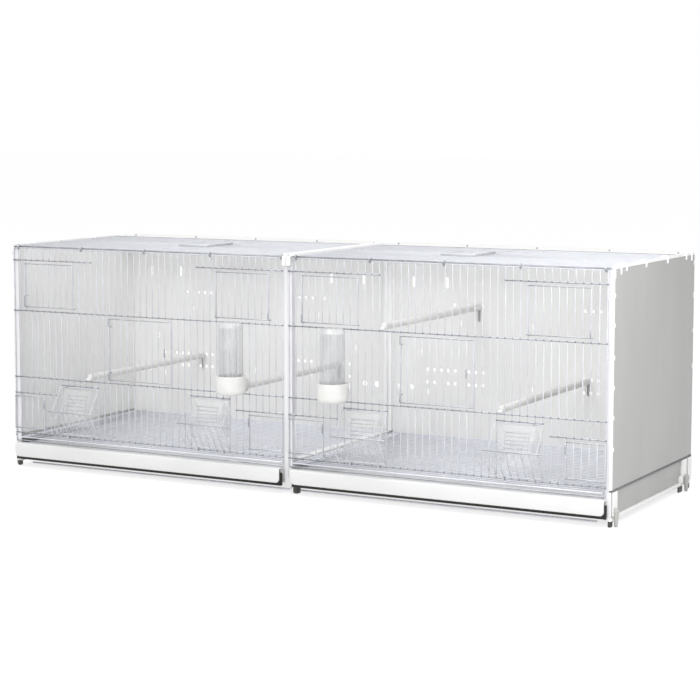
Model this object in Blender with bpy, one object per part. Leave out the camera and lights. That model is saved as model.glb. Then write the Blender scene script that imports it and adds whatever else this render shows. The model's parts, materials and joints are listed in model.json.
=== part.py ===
# Double bird breeding cage: two equal bays side by side under one frame.
# Metres, +Z up. The front faces -Y and the cage's length runs along X.
# The origin is on the ground, in the middle of the footprint with the drinkers on.
import math

import bmesh
import bpy
from mathutils import Matrix, Vector

# Overall size
CAGE_LENGTH = 1.200
CAGE_DEPTH = 0.400
CAGE_HEIGHT = 0.420

# Gaps between pieces
FIT = 0.0003  # between pieces that touch
WELD = 0.00001  # corners of one piece that are nearer than this are one corner
RUN_GAP = 0.0008  # between a moving piece and the wires that it passes
OVERRUN = 0.004  # how far a cut runs past the surface that it opens

# Wire of the fronts, doors, roofs and grilles
WIRE_PITCH = 0.01365
UPRIGHT_WIRE = 0.0020
RAIL_WIRE = 0.0030
WIRE_DEPTH = 0.0024
FIRST_UPRIGHT = 0.0035  # from the bay's left end to its first upright
LAST_UPRIGHT_ROOM = 0.0095  # from its last upright to the bay's right end
RING_BORE = 0.0021  # radius inside a door's ring, round an upright
RING_WALL = 0.0015
RING_HEIGHT = 0.0030
RING_SIDES = 8
SMOOTH_ANGLE = math.radians(40)

# Sheets of the sides and the back
SHEET = 0.0025
BACK_FLANGE = 0.012  # the fold over the rear edge of the roof
BACK_FLANGE_THICKNESS = 0.0020

# Profiles
POST_WALL = 0.0030
POST_FACE = 0.012
FRONT_POST_DEPTH = 0.014
REAR_POST_DEPTH = 0.030
CENTRE_POST_WIDTH = 0.016
CENTRE_POST_DEPTH = 0.012
DIVIDER_SLOT = 0.0030
DIVIDER_SLOT_DEPTH = 0.009
ROOF_RAIL_CAP_HEIGHT = 0.017
ROOF_RAIL_CAP_DEPTH = 0.0035
ROOF_RAIL_CAP_SPLIT = 0.0015
ROOF_RAIL_CAP_PROUD = 0.0003

# Feet and base
FOOT_HEIGHT = 0.0165
FOOT_WIDTH = 0.028
FOOT_DEPTH = 0.026
CENTRE_FOOT_WIDTH = 0.020
CENTRE_FOOT_SHIFT = 0.010
# Outlines from the front, as shares of width and height: an end foot narrows on its outer side only
END_FOOT_SHARES = (
    (0.44, 0.0), (0.90, 0.0), (1.0, 0.14), (1.0, 1.0), (0.0, 1.0), (0.0, 0.74), (0.24, 0.54), (0.36, 0.20),
)
CENTRE_FOOT_WAIST_SHARE = 0.14
CENTRE_FOOT_SHARES = (
    (0.30, 0.0), (0.70, 0.0), (1.0 - CENTRE_FOOT_WAIST_SHARE, 0.16), (1.0 - CENTRE_FOOT_WAIST_SHARE, 0.66),
    (1.0, 0.76), (1.0, 1.0), (0.0, 1.0), (0.0, 0.76),
    (CENTRE_FOOT_WAIST_SHARE, 0.66), (CENTRE_FOOT_WAIST_SHARE, 0.16),
)
BASE_HEIGHT = 0.060
BASE_RAIL_WIDTH = 0.010
BASE_RAIL_GROUND_GAP = 0.008
RUNNER = 0.0018
RUNNER_REACH = 0.016
GRILLE_RUNNER_DROP = 0.0070  # from the top of the base to the underside of the grille runner
FLOOR_RAIL_WEB = 0.0030
FLOOR_RAIL_CAP_WIDTH = 0.012
FLOOR_RAIL_CAP = 0.0020
TIE_WIRE = 0.0035
TIE_WIRE_HEIGHT = 0.0080
SILL_DROP = 0.0105  # from the top of the base to the middle of the sill wire

# Rails of the front, as drops and heights from the base and from the roof
BOTTOM_RAIL_RISE = 0.0050
BATH_OPENING_HEIGHT = 0.0765
FEEDER_OPENING_HEIGHT = 0.0960
FEEDER_HEADER_DROP = 0.0110
NEST_OPENING_HEIGHT = 0.0955
NEST_HEADER_DROP = 0.0223

# Places along a bay, counted in uprights from its nearer end
NEST_DOOR_START = 2
NEST_DOOR_PITCHES = 8
NEST_HEADER_PITCHES = 13
BATH_DOOR_PITCHES = 5
BATH_HEADER_PITCHES = 7
FEEDER_START = 8
FEEDER_PITCHES = 6
MAIN_DOOR_PITCHES = 10
LEFT_DRINKER_GAP = 6
RIGHT_DRINKER_GAP = 7

# Doors
DOOR_MARGIN = 0.0050
BATH_DOOR_MARGIN = 0.0085
LATCH_WIDTH = 0.0030
LATCH_LENGTH = 0.016
LATCH_DEPTH = 0.0020
LATCH_RISE = 0.014  # from the bottom of a door to the lower end of its latch

# Feeders
FEEDER_WIRE = 0.0020
FEEDER_REACH = 0.030
FEEDER_BAR_HEIGHT = 0.050  # of the front bar above the rail that the bracket turns on
FEEDER_BAR_OVERHANG = 0.0115  # past the outer slats
FEEDER_HEAD_OVERHANG = 0.0020
FEEDER_HEAD_SETBACK = 0.0018  # of the head wire in front of the grid
FEEDER_HEAD_DROP = 0.0020  # of the head wire below the header rail
FEEDER_RING_BORE = 0.0024
FEEDER_RING_WALL = 0.0018
FEEDER_HEEL = 0.0060  # from the axis to the bracket's lowest cross wire
FEEDER_CUP_WIDTH = 0.062
FEEDER_CUP_WALL = 0.0016
FEEDER_CUP_BACK = 0.022  # how far the cup reaches into the cage
FEEDER_CUP_LOW = 0.0240  # along the slope, from the axis to the underside's rear end
FEEDER_CUP_HIGH = 0.0545  # along the slope, from the axis to the underside's front end
FEEDER_CUP_BRIM = 0.0070
FEEDER_CUP_HEEL = 0.0140
FEEDER_CUP_LIP = 0.0400  # height of the rear lip above the underside
FEEDER_HOOD_SETBACK = 0.0045
FEEDER_HOOD_DROP = 0.0040
LOUVRE = 0.0012
LOUVRE_SIDE_MARGIN = 0.006
LOUVRE_COUNT = 3

# Drinkers
DRINKER_GAP = 0.0020  # between the cup and the front of the grid
DRINKER_CUP_RIM = 0.0045  # the cup's wall round the tube
DRINKER_CUP_NARROWING = 0.008  # from the cup's widest radius to its foot's
DRINKER_CUP_HEIGHT = 0.0337
DRINKER_CUP_WALL = 0.0030
DRINKER_CUP_FILLET = 0.008
DRINKER_SOCKET_DEPTH = 0.013
DRINKER_LEDGE = 0.0030
DRINKER_TUBE_RADIUS = 0.022
DRINKER_TUBE_WALL = 0.0013
DRINKER_TUBE_LENGTH = 0.108
DRINKER_TUBE_SHOULDER = 0.010
DRINKER_TUBE_ROUND_SHARE = 0.3  # how far the shoulder's middle corner stands in from a square one
DRINKER_SOCKET_GAP = 0.0005
DRINKER_SPOUT_WIDTH = 0.009
DRINKER_SPOUT_HEIGHT = 0.022
DRINKER_SPOUT_WALL = 0.0014
DRINKER_SPOUT_REACH = 0.024  # behind the front of the grid
DRINKER_SPOUT_ROOT = 0.008  # how deep the spout starts inside the cup
DRINKER_SIDES = 16

# Perches
PERCH_RADIUS = 0.0060
PERCH_SIDES = 12
PERCH_TONGUE_WIDTH = 0.0070
PERCH_TONGUE_HEIGHT = 0.0050
PERCH_TONGUE_REACH = 0.0040
PERCH_TONGUE_ROOT = 0.0060
PERCH_TAB_WIDTH = 0.0050
PERCH_TAB_DEPTH = 0.0040
PERCH_TAB_DROP = 0.040
# Gaps between uprights that the perches stand in, counted from the main door's edge or from the drinker
PERCH_LEFT_OF_LEFT_DOOR = 4
PERCH_LEFT_OF_DRINKER = 1
PERCH_LEFT_OF_RIGHT_DOOR = 3
PERCH_RIGHT_OF_RIGHT_DOOR = 3

# Trays and floor grilles
TRAY_SIDE_GAP = 0.0026  # beside the posts
TRAY_WALL = 0.0022
TRAY_TOP_GAP = 0.0018  # between the lip and the sill wire
TRAY_RIM_DROP = 0.0033  # from the lip's top to the rim of the tray
TRAY_REAR_GAP = 0.0020
TRAY_LIP_DEPTH = 0.010
TRAY_LIP_WIDER = 0.0075  # past the tray's outer wall
TRAY_LIP_RISE = 0.0008
TRAY_LIP_BEVEL = 0.0035
TRAY_LIP_ROOT = 0.0060  # from the tray's underside to the lower end of the lip's inner leg
TRAY_FACE_STEP = 0.0004  # from that leg's face back to the tray's front wall
SEAL_DROP = 0.0048  # below the lip
SEAL_END_GAP = 0.0020
GRILLE_REAR_GAP = 0.0040
GRILLE_FRONT_LIP = 0.0010

# Roofs and their hatches
ROOF_PITCH = 0.0178
ROOF_EDGE = 0.0015
HATCH_START = 8  # in roof wires from the front
HATCH_PITCHES = 5
HATCH_WIDTH = 0.058
HATCH_SHIFT = {"left": 0.0185, "right": -0.042}  # along X from the middle of the roof
HATCH_OVERLAP = 0.0045
HATCH_RIM = 0.0022  # of the wire on top of the lid's front and right edges
HATCH_RING_SPREAD = 0.036
HATCH_RING_BORE = 0.0022
HATCH_RING_WALL = 0.0013

# Punched holes of the back, as places in shares of the bay's length and the cage's height
BACK_CENTRE_SHARE = 0.492
TALL_SLOT_SHARES = (0.292, 0.410)
TALL_SLOT_HEIGHT_SHARE = 0.829
UPPER_DOT_SHARES = (0.171, 0.196, 0.221, 0.266)
UPPER_DOT_HEIGHT_SHARE = 0.732
SMALL_SLOT_PLACE_SHARES = ((0.000, 0.651), (0.243, 0.651), (0.382, 0.512), (0.000, 0.374), (0.358, 0.331))
DOT_ROW_STEPS = {0.433: (0, 1, 2, 4, 5, 6, 7, 8), 0.375: (0, 1, 2, 4, 5, 7, 8)}
DOT_ROW_START_SHARE = 0.168
DOT_ROW_STEP_SHARE = 0.0239
LARGE_HOLE_SHARES = (0.415, 0.458)
LARGE_HOLE_HEIGHT_SHARE = 0.348
TALL_SLOT_WIDTH = 0.0070
TALL_SLOT_LENGTH = 0.022
SMALL_SLOT_WIDTH = 0.0035
SMALL_SLOT_LENGTH = 0.012
DOT_RADIUS = 0.0036
LARGE_HOLE_RADIUS = 0.0060
DOT_SIDES = 6
LARGE_HOLE_SIDES = {-1: 4, 1: 12}  # square to the left of the middle, round to the right

# Places worked out from the sizes above
BAY = CAGE_LENGTH / 2
DRINKER_CUP_RADIUS = DRINKER_TUBE_RADIUS + DRINKER_SOCKET_GAP + DRINKER_CUP_RIM
DRINKER_CUP_FOOT_RADIUS = DRINKER_CUP_RADIUS - DRINKER_CUP_NARROWING
DRINKER_STANDOFF = DRINKER_CUP_RADIUS + DRINKER_GAP
FRONT = (DRINKER_STANDOFF + DRINKER_CUP_RADIUS - CAGE_DEPTH) / 2
BACK = FRONT + CAGE_DEPTH
GRID_REAR = FRONT + WIRE_DEPTH
POST_FRONT = GRID_REAR + FIT
BACK_SHEET_REAR = BACK - POST_WALL - FIT
BACK_SHEET_FRONT = BACK_SHEET_REAR - SHEET
SIDE_SHEET_OUTER = CAGE_LENGTH / 2 - POST_WALL - FIT
SIDE_SHEET_INNER = SIDE_SHEET_OUTER - SHEET
BASE_BOTTOM = FOOT_HEIGHT + FIT
ROOF_UNDER = CAGE_HEIGHT - WIRE_DEPTH
WALL_TOP = ROOF_UNDER - FIT
TOP_RAIL = WALL_TOP - RAIL_WIRE / 2
NEST_RAIL = TOP_RAIL - NEST_HEADER_DROP
UPPER_RAIL = NEST_RAIL - NEST_OPENING_HEIGHT
BOTTOM_RAIL = BASE_HEIGHT + BOTTOM_RAIL_RISE
BATH_RAIL = BOTTOM_RAIL + BATH_OPENING_HEIGHT
FEEDER_RAIL = BOTTOM_RAIL + FEEDER_OPENING_HEIGHT
LOWER_RAIL = FEEDER_RAIL + FEEDER_HEADER_DROP
SILL = BASE_HEIGHT - SILL_DROP
TRAY_BOTTOM = BASE_BOTTOM + RUNNER + FIT
GRILLE_BOTTOM = BASE_HEIGHT - GRILLE_RUNNER_DROP + RUNNER + FIT
TRAY_LIP_TOP = SILL - RAIL_WIRE / 2 - TRAY_TOP_GAP
TRAY_INNER_EDGE = CENTRE_POST_WIDTH / 2 + FIT + TRAY_SIDE_GAP + FIT
TRAY_OUTER_EDGE = POST_FACE + TRAY_SIDE_GAP
BAYS = ("left", "right")


def evenly(first, last, pitch):
    # Places from first to last, as near to the pitch as whole steps allow
    steps = max(1, round((last - first) / pitch))
    return [first + (last - first) * step / steps for step in range(steps + 1)]


UPRIGHTS = evenly(FIRST_UPRIGHT, BAY - LAST_UPRIGHT_ROOM, WIRE_PITCH)
LAST = len(UPRIGHTS) - 1


# Finishes: colour, roughness, metallic, alpha
WHITE_WIRE = ((0.80, 0.81, 0.83), 0.35, 0.0, 1.0)
WHITE_PLASTIC = ((0.86, 0.87, 0.88), 0.45, 0.0, 1.0)
GREY_SHEET = ((0.74, 0.75, 0.77), 0.55, 0.0, 1.0)
CLEAR_PLASTIC = ((0.88, 0.92, 0.95), 0.08, 0.0, 0.35)
PERCH_PLASTIC = ((0.62, 0.61, 0.59), 0.55, 0.0, 1.0)
DARK_PLASTIC = ((0.10, 0.10, 0.11), 0.60, 0.0, 1.0)
ZINC_WIRE = ((0.62, 0.64, 0.68), 0.30, 1.0, 1.0)


def add_piece(name, mesh, look, location=(0.0, 0.0, 0.0), parent=None):
    # One named object with a material of its own
    piece = bpy.data.objects.new(name, mesh.copy() if mesh.users else mesh)
    bpy.context.scene.collection.objects.link(piece)
    piece.location = location
    piece.parent = parent
    colour, roughness, metallic, alpha = look
    material = bpy.data.materials.new(name + "_finish")
    material.use_nodes = True
    shader = material.node_tree.nodes["Principled BSDF"]
    shader.inputs["Base Color"].default_value = (*colour, 1.0)
    shader.inputs["Roughness"].default_value = roughness
    shader.inputs["Metallic"].default_value = metallic
    shader.inputs["Alpha"].default_value = alpha
    piece.data.materials.clear()
    piece.data.materials.append(material)
    return piece


def add_joint_empty(name, location):
    # An empty on a joint's axis, for the pieces that move together
    empty = bpy.data.objects.new(name, None)
    bpy.context.scene.collection.objects.link(empty)
    empty.location = location
    return empty


def mesh_from(shape, name):
    bmesh.ops.recalc_face_normals(shape, faces=shape.faces)
    mesh = bpy.data.meshes.new(name)
    shape.to_mesh(mesh)
    shape.free()
    return mesh


def block(x_span, y_span, z_span):
    # A closed box between two places on each axis
    shape = bmesh.new()
    bmesh.ops.create_cube(shape, size=1.0)
    spans = (x_span, y_span, z_span)
    scale = Matrix.Diagonal([high - low for low, high in spans] + [1.0])
    middle = Matrix.Translation([(low + high) / 2 for low, high in spans])
    bmesh.ops.transform(shape, matrix=middle @ scale, verts=shape.verts)
    return mesh_from(shape, "block")


def centred(middle, width):
    return (middle - width / 2, middle + width / 2)


def prism(outline, depth):
    # An outline in the XY plane, extruded along +Z
    shape = bmesh.new()
    base = shape.faces.new([shape.verts.new((a, b, 0.0)) for a, b in outline])
    raised = bmesh.ops.extrude_face_region(shape, geom=[base])
    lifted = [item for item in raised["geom"] if isinstance(item, bmesh.types.BMVert)]
    bmesh.ops.translate(shape, vec=(0.0, 0.0, depth), verts=lifted)
    return mesh_from(shape, "prism")


def wire_panel(wires, depth):
    # Flat wires (a_low, a_high, b_low, b_high) welded into one closed panel in the XY plane
    a_edges = sorted({round(edge, 7) for wire in wires for edge in wire[:2]})
    b_edges = sorted({round(edge, 7) for wire in wires for edge in wire[2:]})
    shape = bmesh.new()
    corners = {}

    def corner(i, j):
        if (i, j) not in corners:
            corners[i, j] = shape.verts.new((a_edges[i], b_edges[j], 0.0))
        return corners[i, j]

    for i in range(len(a_edges) - 1):
        a = (a_edges[i] + a_edges[i + 1]) / 2
        crossing = [wire for wire in wires if wire[0] < a < wire[1]]
        for j in range(len(b_edges) - 1):
            b = (b_edges[j] + b_edges[j + 1]) / 2
            if any(wire[2] < b < wire[3] for wire in crossing):
                shape.faces.new((corner(i, j), corner(i + 1, j), corner(i + 1, j + 1), corner(i, j + 1)))
    raised = bmesh.ops.extrude_face_region(shape, geom=shape.faces[:])
    lifted = [item for item in raised["geom"] if isinstance(item, bmesh.types.BMVert)]
    bmesh.ops.translate(shape, vec=(0.0, 0.0, depth), verts=lifted)
    return mesh_from(shape, "wire_panel")


def upright(place, low, high, wire=UPRIGHT_WIRE):
    return (*centred(place, wire), low, high)


def rail(level, low, high, wire=RAIL_WIRE):
    return (low, high, *centred(level, wire))


def round_angles(sides):
    return [2 * math.pi * (side + 0.5) / sides for side in range(sides)]


def ring(bore, wall, length):
    # A short sleeve round the Z axis, from z = 0 up
    shape = bmesh.new()
    loops = []
    for radius, level in ((bore, 0.0), (bore + wall, 0.0), (bore + wall, length), (bore, length)):
        corners = [(radius * math.cos(t), radius * math.sin(t), level) for t in round_angles(RING_SIDES)]
        loops.append([shape.verts.new(corner) for corner in corners])
    for loop, following in zip(loops, loops[1:] + loops[:1]):
        for side in range(RING_SIDES):
            after = (side + 1) % RING_SIDES
            shape.faces.new((loop[side], loop[after], following[after], following[side]))
    return mesh_from(shape, "ring")


def turned(profile, sides):
    # A closed (radius, height) profile spun round the Z axis
    shape = bmesh.new()
    points = [shape.verts.new((radius, 0.0, level)) for radius, level in profile]
    edges = [shape.edges.new(pair) for pair in zip(points, points[1:])]
    bmesh.ops.spin(
        shape, geom=points + edges, cent=(0.0, 0.0, 0.0), axis=(0.0, 0.0, 1.0),
        angle=2 * math.pi, steps=sides, use_merge=True,
    )
    bmesh.ops.remove_doubles(shape, verts=shape.verts, dist=WELD)
    return mesh_from(shape, "turned")


def moved(mesh, location=(0.0, 0.0, 0.0), turn=None):
    # The same mesh, turned and then moved
    matrix = Matrix.Translation(location)
    if turn:
        matrix = matrix @ Matrix.Rotation(turn[0], 4, turn[1])
    mesh.transform(matrix)
    return mesh


def combined(base, additions=(), cuts=()):
    # Boolean unions and then differences, evaluated to one mesh
    def helper(mesh):
        thing = bpy.data.objects.new("helper", mesh)
        bpy.context.scene.collection.objects.link(thing)
        thing.hide_render = True
        thing.display_type = "WIRE"
        return thing

    body = helper(base)
    tools = []
    for operation, meshes in (("UNION", additions), ("DIFFERENCE", cuts)):
        for mesh in meshes:
            tool = helper(mesh)
            tools.append(tool)
            modifier = body.modifiers.new(operation, "BOOLEAN")
            modifier.operation = operation
            modifier.object = tool
    bpy.context.view_layer.update()
    graph = bpy.context.evaluated_depsgraph_get()
    result = bpy.data.meshes.new_from_object(body.evaluated_get(graph))
    for thing in [body] + tools:
        bpy.data.objects.remove(thing)
    result.materials.clear()
    return result


def smoothed(mesh):
    mesh.shade_smooth()
    mesh.set_sharp_from_angle(angle=SMOOTH_ANGLE)
    return mesh


def bay_left(side):
    return -BAY if side == "left" else 0.0


def add_side_walls():
    for name, way in (("left", -1), ("right", 1)):
        x_span = sorted((way * SIDE_SHEET_OUTER, way * SIDE_SHEET_INNER))
        y_span = (POST_FRONT + POST_WALL + FIT, BACK_SHEET_FRONT - FIT)
        sheet = block(x_span, y_span, (BASE_HEIGHT + FIT, WALL_TOP))
        add_piece("side_panel_" + name, sheet, GREY_SHEET)
        add_base_side(name, way, x_span, y_span)


def add_base_side(name, way, x_span, y_span):
    # The base's side: a plate in line with the side sheet, two runners inside and a rail outside
    reach = sorted((way * (SIDE_SHEET_OUTER - SHEET / 2), way * (SIDE_SHEET_INNER - RUNNER_REACH)))
    tray_runner = block(reach, y_span, (BASE_BOTTOM, BASE_BOTTOM + RUNNER))
    grille_level = BASE_HEIGHT - GRILLE_RUNNER_DROP
    grille_runner = block(reach, y_span, (grille_level, grille_level + RUNNER))
    rail_x = sorted((way * CAGE_LENGTH / 2, way * (CAGE_LENGTH / 2 - BASE_RAIL_WIDTH)))
    rail_y = (POST_FRONT + FOOT_DEPTH + FIT, BACK - REAR_POST_DEPTH - FIT)
    outer_rail = block(rail_x, rail_y, (BASE_RAIL_GROUND_GAP, BASE_BOTTOM + RUNNER / 2))
    plate = block(x_span, y_span, (BASE_BOTTOM, BASE_HEIGHT))
    add_piece("base_side_" + name, combined(plate, [tray_runner, grille_runner, outer_rail]), WHITE_PLASTIC)


def add_corner_posts():
    # Angle profiles with one leg across the front or back and one along the side
    for side, way in (("left", -1), ("right", 1)):
        outer = way * CAGE_LENGTH / 2
        for end, face, depth, inward in (
            ("front", POST_FRONT, FRONT_POST_DEPTH, 1),
            ("rear", BACK, REAR_POST_DEPTH, -1),
        ):
            outline = [
                (outer, face),
                (outer - way * POST_FACE, face),
                (outer - way * POST_FACE, face + inward * POST_WALL),
                (outer - way * POST_WALL, face + inward * POST_WALL),
                (outer - way * POST_WALL, face + inward * depth),
                (outer, face + inward * depth),
            ]
            post = moved(prism(outline, WALL_TOP - BASE_BOTTOM), (0.0, 0.0, BASE_BOTTOM))
            add_piece(f"corner_post_{end}_{side}", post, WHITE_PLASTIC)


def centre_profile(length):
    # A square bar with a slot for the divider along one face
    half = CENTRE_POST_WIDTH / 2
    slot = DIVIDER_SLOT / 2
    floor = CENTRE_POST_DEPTH - DIVIDER_SLOT_DEPTH
    outline = [
        (-half, 0.0), (half, 0.0), (half, CENTRE_POST_DEPTH), (slot, CENTRE_POST_DEPTH),
        (slot, floor), (-slot, floor), (-slot, CENTRE_POST_DEPTH), (-half, CENTRE_POST_DEPTH),
    ]
    return prism(outline, length)


def add_centre_profiles():
    front_post = moved(centre_profile(WALL_TOP - BASE_BOTTOM), (0.0, POST_FRONT, BASE_BOTTOM))
    add_piece("centre_post_front", front_post, WHITE_PLASTIC)
    rear_bottom = BASE_HEIGHT + FIT
    rear_post = moved(
        centre_profile(WALL_TOP - rear_bottom), (0.0, BACK_SHEET_FRONT - FIT, rear_bottom), (math.pi, "Z")
    )
    add_piece("centre_post_rear", rear_post, WHITE_PLASTIC)
    add_roof_rail()
    add_floor_rail()


def add_roof_rail():
    # The rail between the roofs, open in the middle for the divider, with two caps at the front
    half = CENTRE_POST_WIDTH / 2 - ROOF_RAIL_CAP_PROUD
    front = FRONT - FIT - ROOF_RAIL_CAP_DEPTH
    rear = BACK_SHEET_FRONT - FIT
    bar_front = front + ROOF_RAIL_CAP_PROUD
    slot_front = POST_FRONT + CENTRE_POST_DEPTH - DIVIDER_SLOT_DEPTH
    slot_rear = rear - CENTRE_POST_DEPTH + DIVIDER_SLOT_DEPTH
    slot = DIVIDER_SLOT / 2
    strips = [
        (-half, -slot, bar_front, rear), (slot, half, bar_front, rear),
        (-slot, slot, bar_front, slot_front), (-slot, slot, slot_rear, rear),
    ]
    low = WALL_TOP + FIT
    bar = moved(wire_panel(strips, CAGE_HEIGHT - ROOF_RAIL_CAP_PROUD - low), (0.0, 0.0, low))
    caps = [
        block(sorted((way * CENTRE_POST_WIDTH / 2, way * ROOF_RAIL_CAP_SPLIT / 2)), (front, FRONT - FIT),
              (CAGE_HEIGHT - ROOF_RAIL_CAP_HEIGHT, CAGE_HEIGHT))
        for way in (-1, 1)
    ]
    add_piece("roof_centre_rail", combined(bar, caps), WHITE_PLASTIC)


def add_floor_rail():
    # The rail between the trays: an upright web with a cap and two runners on each side
    y_span = (POST_FRONT + CENTRE_POST_DEPTH + FIT, BACK_SHEET_FRONT - FIT)
    web = block(centred(0.0, FLOOR_RAIL_WEB), y_span, (BASE_BOTTOM, BASE_HEIGHT))
    wide = CENTRE_POST_WIDTH / 2 + RUNNER_REACH
    grille_level = BASE_HEIGHT - GRILLE_RUNNER_DROP
    flanges = [
        block((-wide, wide), y_span, (BASE_BOTTOM, BASE_BOTTOM + RUNNER)),
        block((-wide, wide), y_span, (grille_level, grille_level + RUNNER)),
        block(centred(0.0, FLOOR_RAIL_CAP_WIDTH), y_span, (BASE_HEIGHT - FLOOR_RAIL_CAP, BASE_HEIGHT)),
    ]
    add_piece("floor_centre_rail", combined(web, flanges), WHITE_PLASTIC)


def foot(shares, width, way=1):
    # A peg with the same outline all the way back, drawn from its outer side towards the inner side
    outline = [(way * (across - 0.5) * width, up * FOOT_HEIGHT) for across, up in shares]
    return moved(prism(outline, FOOT_DEPTH), (0.0, FOOT_DEPTH / 2, 0.0), (math.pi / 2, "X"))


def add_feet():
    edge = CAGE_LENGTH / 2 - FOOT_WIDTH / 2
    for end, y in (("front", POST_FRONT + FOOT_DEPTH / 2), ("rear", BACK - FOOT_DEPTH / 2)):
        add_piece(f"foot_{end}_left", foot(END_FOOT_SHARES, FOOT_WIDTH), DARK_PLASTIC, (-edge, y, 0.0))
        middle_foot = foot(CENTRE_FOOT_SHARES, CENTRE_FOOT_WIDTH)
        add_piece(f"foot_{end}_centre", middle_foot, DARK_PLASTIC, (CENTRE_FOOT_SHIFT, y, 0.0))
        add_piece(f"foot_{end}_right", foot(END_FOOT_SHARES, FOOT_WIDTH, -1), DARK_PLASTIC, (edge, y, 0.0))


def add_tie_wires():
    # Wires between the front feet, from face to face
    waist = CENTRE_FOOT_WIDTH * (0.5 - CENTRE_FOOT_WAIST_SHARE) + FIT
    outer = CAGE_LENGTH / 2 - FOOT_WIDTH - FIT
    y_middle = POST_FRONT + FOOT_DEPTH / 2
    spans = {"left": (-outer, CENTRE_FOOT_SHIFT - waist), "right": (CENTRE_FOOT_SHIFT + waist, outer)}
    for side, span in spans.items():
        tie = block(span, centred(y_middle, TIE_WIRE), centred(TIE_WIRE_HEIGHT, TIE_WIRE))
        add_piece("tie_wire_" + side, tie, WHITE_WIRE)


def mirrored_spans(start, pitches):
    # The same run of uprights at each end of a bay
    return [(start, start + pitches), (LAST - start - pitches, LAST - start)]


def main_door_span():
    middle = LAST // 2
    return (middle - MAIN_DOOR_PITCHES // 2, middle + MAIN_DOOR_PITCHES // 2)


def front_wires():
    # Uprights broken at each opening, rails over and under the openings, and the sill under the grille
    openings = [(*main_door_span(), LOWER_RAIL, UPPER_RAIL)]
    for start, pitches, sill, header in (
        (NEST_DOOR_START, NEST_DOOR_PITCHES, UPPER_RAIL, NEST_RAIL),
        (0, BATH_DOOR_PITCHES, BOTTOM_RAIL, BATH_RAIL),
        (FEEDER_START, FEEDER_PITCHES, BOTTOM_RAIL, FEEDER_RAIL),
    ):
        openings += [(*span, sill, header) for span in mirrored_spans(start, pitches)]
    low = BOTTOM_RAIL - RAIL_WIRE / 2
    wires = []
    for index, place in enumerate(UPRIGHTS):
        level = low
        for first, last, sill, header in sorted(openings, key=lambda opening: opening[2]):
            if first < index < last:
                wires.append(upright(place, level, sill))
                level = header
        wires.append(upright(place, level, WALL_TOP))
    wires += [upright(place, SILL, BOTTOM_RAIL) for place in (UPRIGHTS[0], UPRIGHTS[LAST])]
    ends = (UPRIGHTS[0] - UPRIGHT_WIRE / 2, UPRIGHTS[LAST] + UPRIGHT_WIRE / 2)
    wires += [rail(level, *ends) for level in (SILL, BOTTOM_RAIL, LOWER_RAIL, UPPER_RAIL, TOP_RAIL)]
    for level, start, pitches in (
        (NEST_RAIL, 0, NEST_HEADER_PITCHES),
        (BATH_RAIL, 0, BATH_HEADER_PITCHES),
        (FEEDER_RAIL, FEEDER_START, FEEDER_PITCHES),
    ):
        for first, last in mirrored_spans(start, pitches):
            over = UPRIGHT_WIRE / 2
            wires.append(rail(level, UPRIGHTS[first] - over, UPRIGHTS[last] + over))
    return [wire for wire in wires if wire[3] > wire[2]]


def upright_panel(wires, rear_face):
    # A wire panel that stands in the XZ plane, with its rear face at y = rear_face
    return moved(wire_panel(wires, WIRE_DEPTH), (0.0, rear_face, 0.0), (math.pi / 2, "X"))


def add_fronts():
    for side in BAYS:
        grid = upright_panel(front_wires(), 0.0)
        add_piece("front_grid_" + side, grid, WHITE_WIRE, (bay_left(side), GRID_REAR, 0.0))


def door_wires(places, low, high):
    wires = [upright(place, low, high) for place in places]
    ends = (places[0] - UPRIGHT_WIRE / 2, places[-1] + UPRIGHT_WIRE / 2)
    return wires + [rail(low + RAIL_WIRE / 2, *ends), rail(high - RAIL_WIRE / 2, *ends)]


def latch(place, low):
    # A small catch that stands off the front of a door
    rear = -RUN_GAP - WIRE_DEPTH / 2
    return block(
        centred(place, LATCH_WIDTH), (rear - WIRE_DEPTH / 2 - LATCH_DEPTH, rear), (low, low + LATCH_LENGTH)
    )


def sliding_door(places, low, high, ringed, latched):
    # A door that slides up in front of the grid on rings round the uprights behind it.
    # It lies in its bay's frame, with y = 0 on the front of the grid.
    panel = upright_panel(door_wires(places, low, high), -RUN_GAP)
    rings = [
        moved(ring(RING_BORE, RING_WALL, RING_HEIGHT), (place, WIRE_DEPTH / 2, low)) for place in ringed
    ]
    return combined(panel, rings + [latch(latched, low + LATCH_RISE)])


def add_sliding_doors():
    number = 0
    for side in BAYS:
        where = (bay_left(side), FRONT, 0.0)
        for end, (first, last) in enumerate(mirrored_spans(NEST_DOOR_START, NEST_DOOR_PITCHES)):
            number += 1
            places = UPRIGHTS[first:last + 1]
            low = UPPER_RAIL + RAIL_WIRE / 2 + DOOR_MARGIN
            latched = places[-2] if end else places[1]
            door = sliding_door(places, low, NEST_RAIL - DOOR_MARGIN, (places[0], places[-1]), latched)
            add_piece(f"nest_door_{number}", door, WHITE_WIRE, where)
        for end, (first, last) in enumerate(mirrored_spans(0, BATH_DOOR_PITCHES)):
            places = UPRIGHTS[first:last + 1]
            free = places[0] if end else places[-1]
            low = BOTTOM_RAIL + BATH_DOOR_MARGIN
            door = sliding_door(places, low, BATH_RAIL - DOOR_MARGIN, (free,), free)
            add_piece(f"bath_door_{number - 1 + end}", door, WHITE_WIRE, where)


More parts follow.
